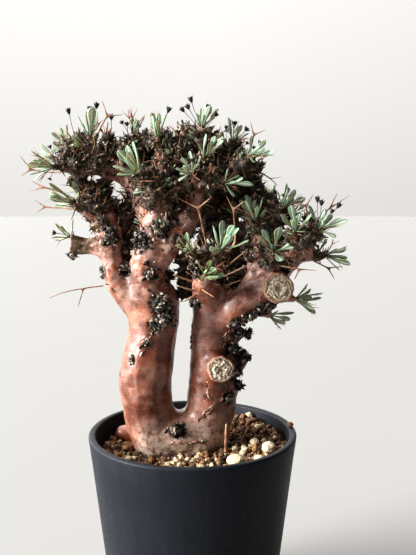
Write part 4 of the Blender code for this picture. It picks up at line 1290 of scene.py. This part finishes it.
class SUCCULENT_OT_dry_stalks(PieceOperator, bpy.types.Operator):
    """The long forked dry flower stalks and the stick in the soil"""

    bl_idname = "succulent.dry_stalks"
    bl_label = "Dry stalks"

    def execute(self, context):
        finish = self.stalk_skin()
        for node in STALKS:
            piece = sewn_copy(node)
            smoothed(piece, 2)
            apply_modifiers(piece)
            ground = Ground(piece)
            thinner = []
            for vertex in piece.data.vertices:
                inward = -vertex.normal
                through = ground.tree.ray_cast(vertex.co + inward * 0.05 * MM, inward)[3] or 0.0
                bump = noise.noise(vertex.co / (1.8 * MM)) * 0.1 * MM
                thinner.append(inward * (min(through, 1.6 * MM) * 0.24 - bump))
            for vertex, step in zip(piece.data.vertices, thinner):
                vertex.co += step
            settle(piece, "stalk_" + node[-2:], finish, "dry_stalk", node)
        low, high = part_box("dry_twig")
        middle = (low + high) / 2
        tall = high.z - low.z
        x = low.x + 1.1 * MM
        sections = []
        for step in range(15):
            share = step / 14
            knot = 1.0 + (0.35 if step in (4, 9) else 0.0)
            wide = (high.y - low.y) / 2 * (1 - 0.3 * share) * knot
            lean = (high.x - low.x - 2.2 * MM) * share
            sections.append((x + lean, middle.y, low.z + tall * share, wide, wide * 0.9))
        twig = drawn_out("dry_twig", 10, sections)
        smoothed(twig, 1)
        apply_modifiers(twig)
        settle(twig, "dry_stick", finish, "dry_stalk", "dry_twig")
        return {"FINISHED"}

    @staticmethod
    def stalk_skin():
        """Dry reddish stalk, mottled darker and paler."""
        finish = Finish("stalk_skin", roughness=0.62)
        base = finish.ramp(finish.cloud(4 * MM, 4), (0.32, (0.11, 0.050, 0.030)),
                           (0.52, (0.32, 0.155, 0.085)), (0.72, (0.50, 0.33, 0.23)))
        return finish.dress(base, None, finish.cloud(0.6 * MM, 3), 0.00012)


class SUCCULENT_OT_soil(PieceOperator, bpy.types.Operator):
    """The soil with its loose grit and the larger pumice stones"""

    bl_idname = "succulent.soil"
    bl_label = "Soil and grit"

    def execute(self, context):
        soil = context.scene.succulent_soil
        bed = sewn_copy("soil")
        remeshed(bed, soil.voxel)
        relaxed(bed, 2)
        apply_modifiers(bed)
        for vertex in bed.data.vertices:
            if vertex.normal.z > 0.4 and vertex.co.z > FOOT_Z - 8 * MM:
                point = vertex.co / MM
                rise = noise.noise(point / 5) * 0.7 + noise.turbulence(point / 1.9, 3, False) * 0.7
                vertex.co.z += (rise - 0.4) * MM
        settle(bed, "soil_bed", potting_soil(soil), "soil", "soil")
        ground = Ground(bed)
        bark = Ground(bpy.data.objects["stem_bark"])
        self.lay_grit(ground, bark, soil)
        pumice = grit("pumice_stone", shaded(soil.pumice_colour, 0.85),
                      shaded(soil.pumice_colour, 1.1), 0.9 * MM)
        for number, node in enumerate(STONES):
            self.stone(number, node, pumice)
        return {"FINISHED"}

    @staticmethod
    def stone(number, node, finish):
        piece = sewn_copy(node)
        smoothed(piece, 2)
        apply_modifiers(piece)
        low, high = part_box(node)
        middle = (low + high) / 2
        for vertex in piece.data.vertices:
            way = vertex.co - middle
            point = vertex.co / MM
            facet = noise.voronoi(point / 3.1 + Vector((number, 0, 0)))[0][0]
            pits = noise.turbulence(point / 1.1, 3, True)
            vertex.co = middle + way * (0.94 + 0.16 * facet - 0.10 * (1 - pits))
        set_attribute(piece.data, "tone", [0.5 + 0.1 * (number % 3)] * len(piece.data.vertices))
        settle(piece, "pumice_" + node[-2:], finish, "pumice", node)

    @staticmethod
    def lay_grit(ground, bark, soil):
        chance = random.Random(SEEDS["grit"])
        masters = [lump("grain", 2, 0.55, 2, (1.0, 0.85, 0.75)), lump("grain", 2, 0.75, 5, (1.0, 0.7, 0.8)),
                   lump("grain", 2, 0.5, 8, (1.0, 0.95, 0.85))]
        inner = SOIL_RADIUS - 1.0 * MM
        kinds = {"baked_clay_grit": [], "pumice_grit": [], "lava_grit": []}

        def lay(kind, x, y, wide, sink):
            hit = ground.tree.ray_cast(Vector((x, y, RIM_Z)), -UP)
            if hit[0] is None or hit[0].z < FOOT_Z - 6 * MM:
                return
            point = hit[0] + UP * wide * sink
            if bark.tree.find_nearest(point)[3] < wide * 0.45:
                return
            turned = Matrix.Rotation(chance.uniform(0, math.tau), 4, jitter(chance))
            kinds[kind].append((chance.randrange(3), Matrix.Translation(point) @ turned
                                @ Matrix.Scale(wide, 4), chance.random()))

        for _ in range(soil.grains):
            reach = inner * math.sqrt(chance.random())
            turn = chance.uniform(0, math.tau)
            wide = soil.smallest + (soil.largest - soil.smallest) * chance.random() ** 2.6
            x, y = reach * math.cos(turn), reach * math.sin(turn)
            limit = (inner - wide * 0.6) / max(reach, 1e-6)
            if limit < 1:
                x, y = x * limit, y * limit
            back = 0.5 + y / (2 * inner)
            draw = chance.random()
            if draw < 0.45 + 0.50 * back:
                kind = "baked_clay_grit"
            elif draw < 0.88:
                kind = "pumice_grit"
            else:
                kind = "lava_grit"
            lay(kind, x, y, wide, 0.20)
        lay("pumice_grit", WHITE_PELLET[0] * MM, WHITE_PELLET[1] * MM, 5.2 * MM, 0.35)
        crumb = Matrix.Translation((RIM_CRUMB[0] * MM, RIM_CRUMB[1] * MM, RIM_Z + 1.0 * MM))
        kinds["baked_clay_grit"].append((1, crumb @ Matrix.Scale(3.4 * MM, 4), 0.9))
        finishes = {
            "baked_clay_grit": grit("baked_clay", shaded(soil.clay_colour, 0.45),
                                    shaded(soil.clay_colour, 1.6), 0.8 * MM),
            "pumice_grit": grit("cream_pumice", shaded(soil.pumice_colour, 0.60),
                                shaded(soil.pumice_colour, 1.15), 0.7 * MM),
            "lava_grit": grit("dark_lava", shaded(soil.lava_colour, 0.6),
                              shaded(soil.lava_colour, 2.2), 0.6 * MM),
        }
        for name, plants in kinds.items():
            settle(planted(name, masters, plants), name, finishes[name],
                   "pumice" if name == "pumice_grit" else "soil")
        drop(*masters)


class SUCCULENT_OT_stage(bpy.types.Operator):
    """The pale floor, soft light, surround and camera"""

    bl_idname = "succulent.stage"
    bl_label = "Stage"

    def execute(self, context):
        stage = context.scene.succulent_stage
        clean_start()
        bpy.ops.mesh.primitive_circle_add(vertices=64, radius=FLOOR_RADIUS, fill_type="NGON",
                                          location=(0, 0, -FLOOR_GAP))
        floor = context.object
        floor.name = "studio_floor"
        finish = Finish("studio_floor", roughness=0.8)
        base = finish.mix(finish.level(finish.cloud(0.25, 3), 0.3, 0.7, 0.0, 0.5),
                          stage.floor_colour[:], shaded(stage.floor_colour, 0.96))
        floor.data.materials.append(finish.dress(base))

        self.surround(context, stage)
        self.lamp("window_light", (-1.0, -0.30, 0.34), 34, stage.key_power)
        self.lamp("top_light", (-0.50, -0.05, 1.0), 50, stage.key_power * 0.20)

        camera = bpy.data.objects.new("camera", bpy.data.cameras.new("camera"))
        context.scene.collection.objects.link(camera)
        camera.location = (stage.camera_side, -stage.camera_back, stage.camera_height)
        camera.rotation_euler = (math.pi / 2 - stage.camera_pitch, 0, 0)
        camera.data.lens = stage.lens
        camera.data.sensor_width = 36.0
        camera.data.clip_start = 0.01
        context.scene.camera = camera
        context.scene.view_settings.view_transform = "Standard"
        context.scene.view_settings.look = "Medium High Contrast"
        return {"FINISHED"}

    @staticmethod
    def surround(context, stage):
        """A pale backdrop all round, whose light comes from the left and the back."""
        world = bpy.data.worlds.new("studio_surround")
        context.scene.world = world
        world.use_nodes = True
        nodes, links = world.node_tree.nodes, world.node_tree.links
        way = nodes.new("ShaderNodeTexCoord").outputs["Generated"]
        split = nodes.new("ShaderNodeSeparateXYZ")
        links.new(way, split.inputs[0])

        def fall(axis, low, high, at_low, at_high):
            node = nodes.new("ShaderNodeMapRange")
            links.new(split.outputs[axis], node.inputs["Value"])
            for socket, number in zip(("From Min", "From Max", "To Min", "To Max"),
                                      (low, high, at_low, at_high)):
                node.inputs[socket].default_value = number
            return node.outputs["Result"]

        def product(a, b):
            node = nodes.new("ShaderNodeMath")
            node.operation = "MULTIPLY"
            links.new(a, node.inputs[0])
            links.new(b, node.inputs[1])
            return node.outputs[0]

        light = product(product(fall("X", 0.10, 0.75, 1.0, 0.03), fall("Y", -0.3, 0.7, 0.04, 1.9)),
                        fall("X", -0.85, -0.30, 3.2, 1.0))
        backdrop = product(fall("Z", -0.01, 0.25, 0.74, 0.90), fall("X", 0.0, 0.40, 1.0, 0.90))
        seen = nodes.new("ShaderNodeMix")
        links.new(nodes.new("ShaderNodeLightPath").outputs["Is Camera Ray"], seen.inputs[0])
        links.new(light, seen.inputs[2])
        links.new(backdrop, seen.inputs[3])
        back = nodes["Background"]
        back.inputs["Color"].default_value = (*stage.sky_colour, 1.0)
        links.new(seen.outputs[0], back.inputs["Strength"])

    @staticmethod
    def lamp(name, way, spread, power):
        """A wide, far light that comes from a direction."""
        light = bpy.data.lights.new(name, "SUN")
        light.angle = math.radians(spread)
        light.energy = power
        lamp = bpy.data.objects.new(name, light)
        bpy.context.scene.collection.objects.link(lamp)
        lamp.location = way
        lamp.rotation_euler = (-Vector(way)).to_track_quat("-Z", "Y").to_euler()


class SUCCULENT_PT_panel(bpy.types.Panel):
    """Sizes, colours and pieces of the potted succulent"""

    bl_idname = "SUCCULENT_PT_panel"
    bl_label = "Potted succulent"
    bl_space_type = "VIEW_3D"
    bl_region_type = "UI"
    bl_category = "Succulent"

    def draw(self, context):
        for operator in OPERATORS:
            self.layout.operator(operator.bl_idname)
        for group, settings in SETTINGS.items():
            box = self.layout.box()
            box.label(text=group.replace("_", " ").capitalize())
            for name in settings.__annotations__:
                box.prop(getattr(context.scene, group), name)


OPERATORS = (
    SUCCULENT_OT_stage, SUCCULENT_OT_pot, SUCCULENT_OT_bark, SUCCULENT_OT_sawn_faces,
    SUCCULENT_OT_crust, SUCCULENT_OT_thatch, SUCCULENT_OT_stubble, SUCCULENT_OT_leaves,
    SUCCULENT_OT_dry_stalks, SUCCULENT_OT_soil,
)
CLASSES = (*SETTINGS.values(), *OPERATORS, SUCCULENT_PT_panel)


def register():
    for item in CLASSES:
        bpy.utils.register_class(item)
    for name, group in SETTINGS.items():
        setattr(bpy.types.Scene, name, PointerProperty(type=group))


def unregister():
    for name in SETTINGS:
        delattr(bpy.types.Scene, name)
    for item in reversed(CLASSES):
        bpy.utils.unregister_class(item)


def main():
    register()
    bpy.ops.succulent.stage()
    bpy.ops.succulent.pot()
    bpy.ops.succulent.bark()
    bpy.ops.succulent.sawn_faces()
    bpy.ops.succulent.crust()
    bpy.ops.succulent.thatch()
    bpy.ops.succulent.stubble()
    bpy.ops.succulent.leaves()
    bpy.ops.succulent.dry_stalks()
    bpy.ops.succulent.soil()


if __name__ == "__main__":
    main()
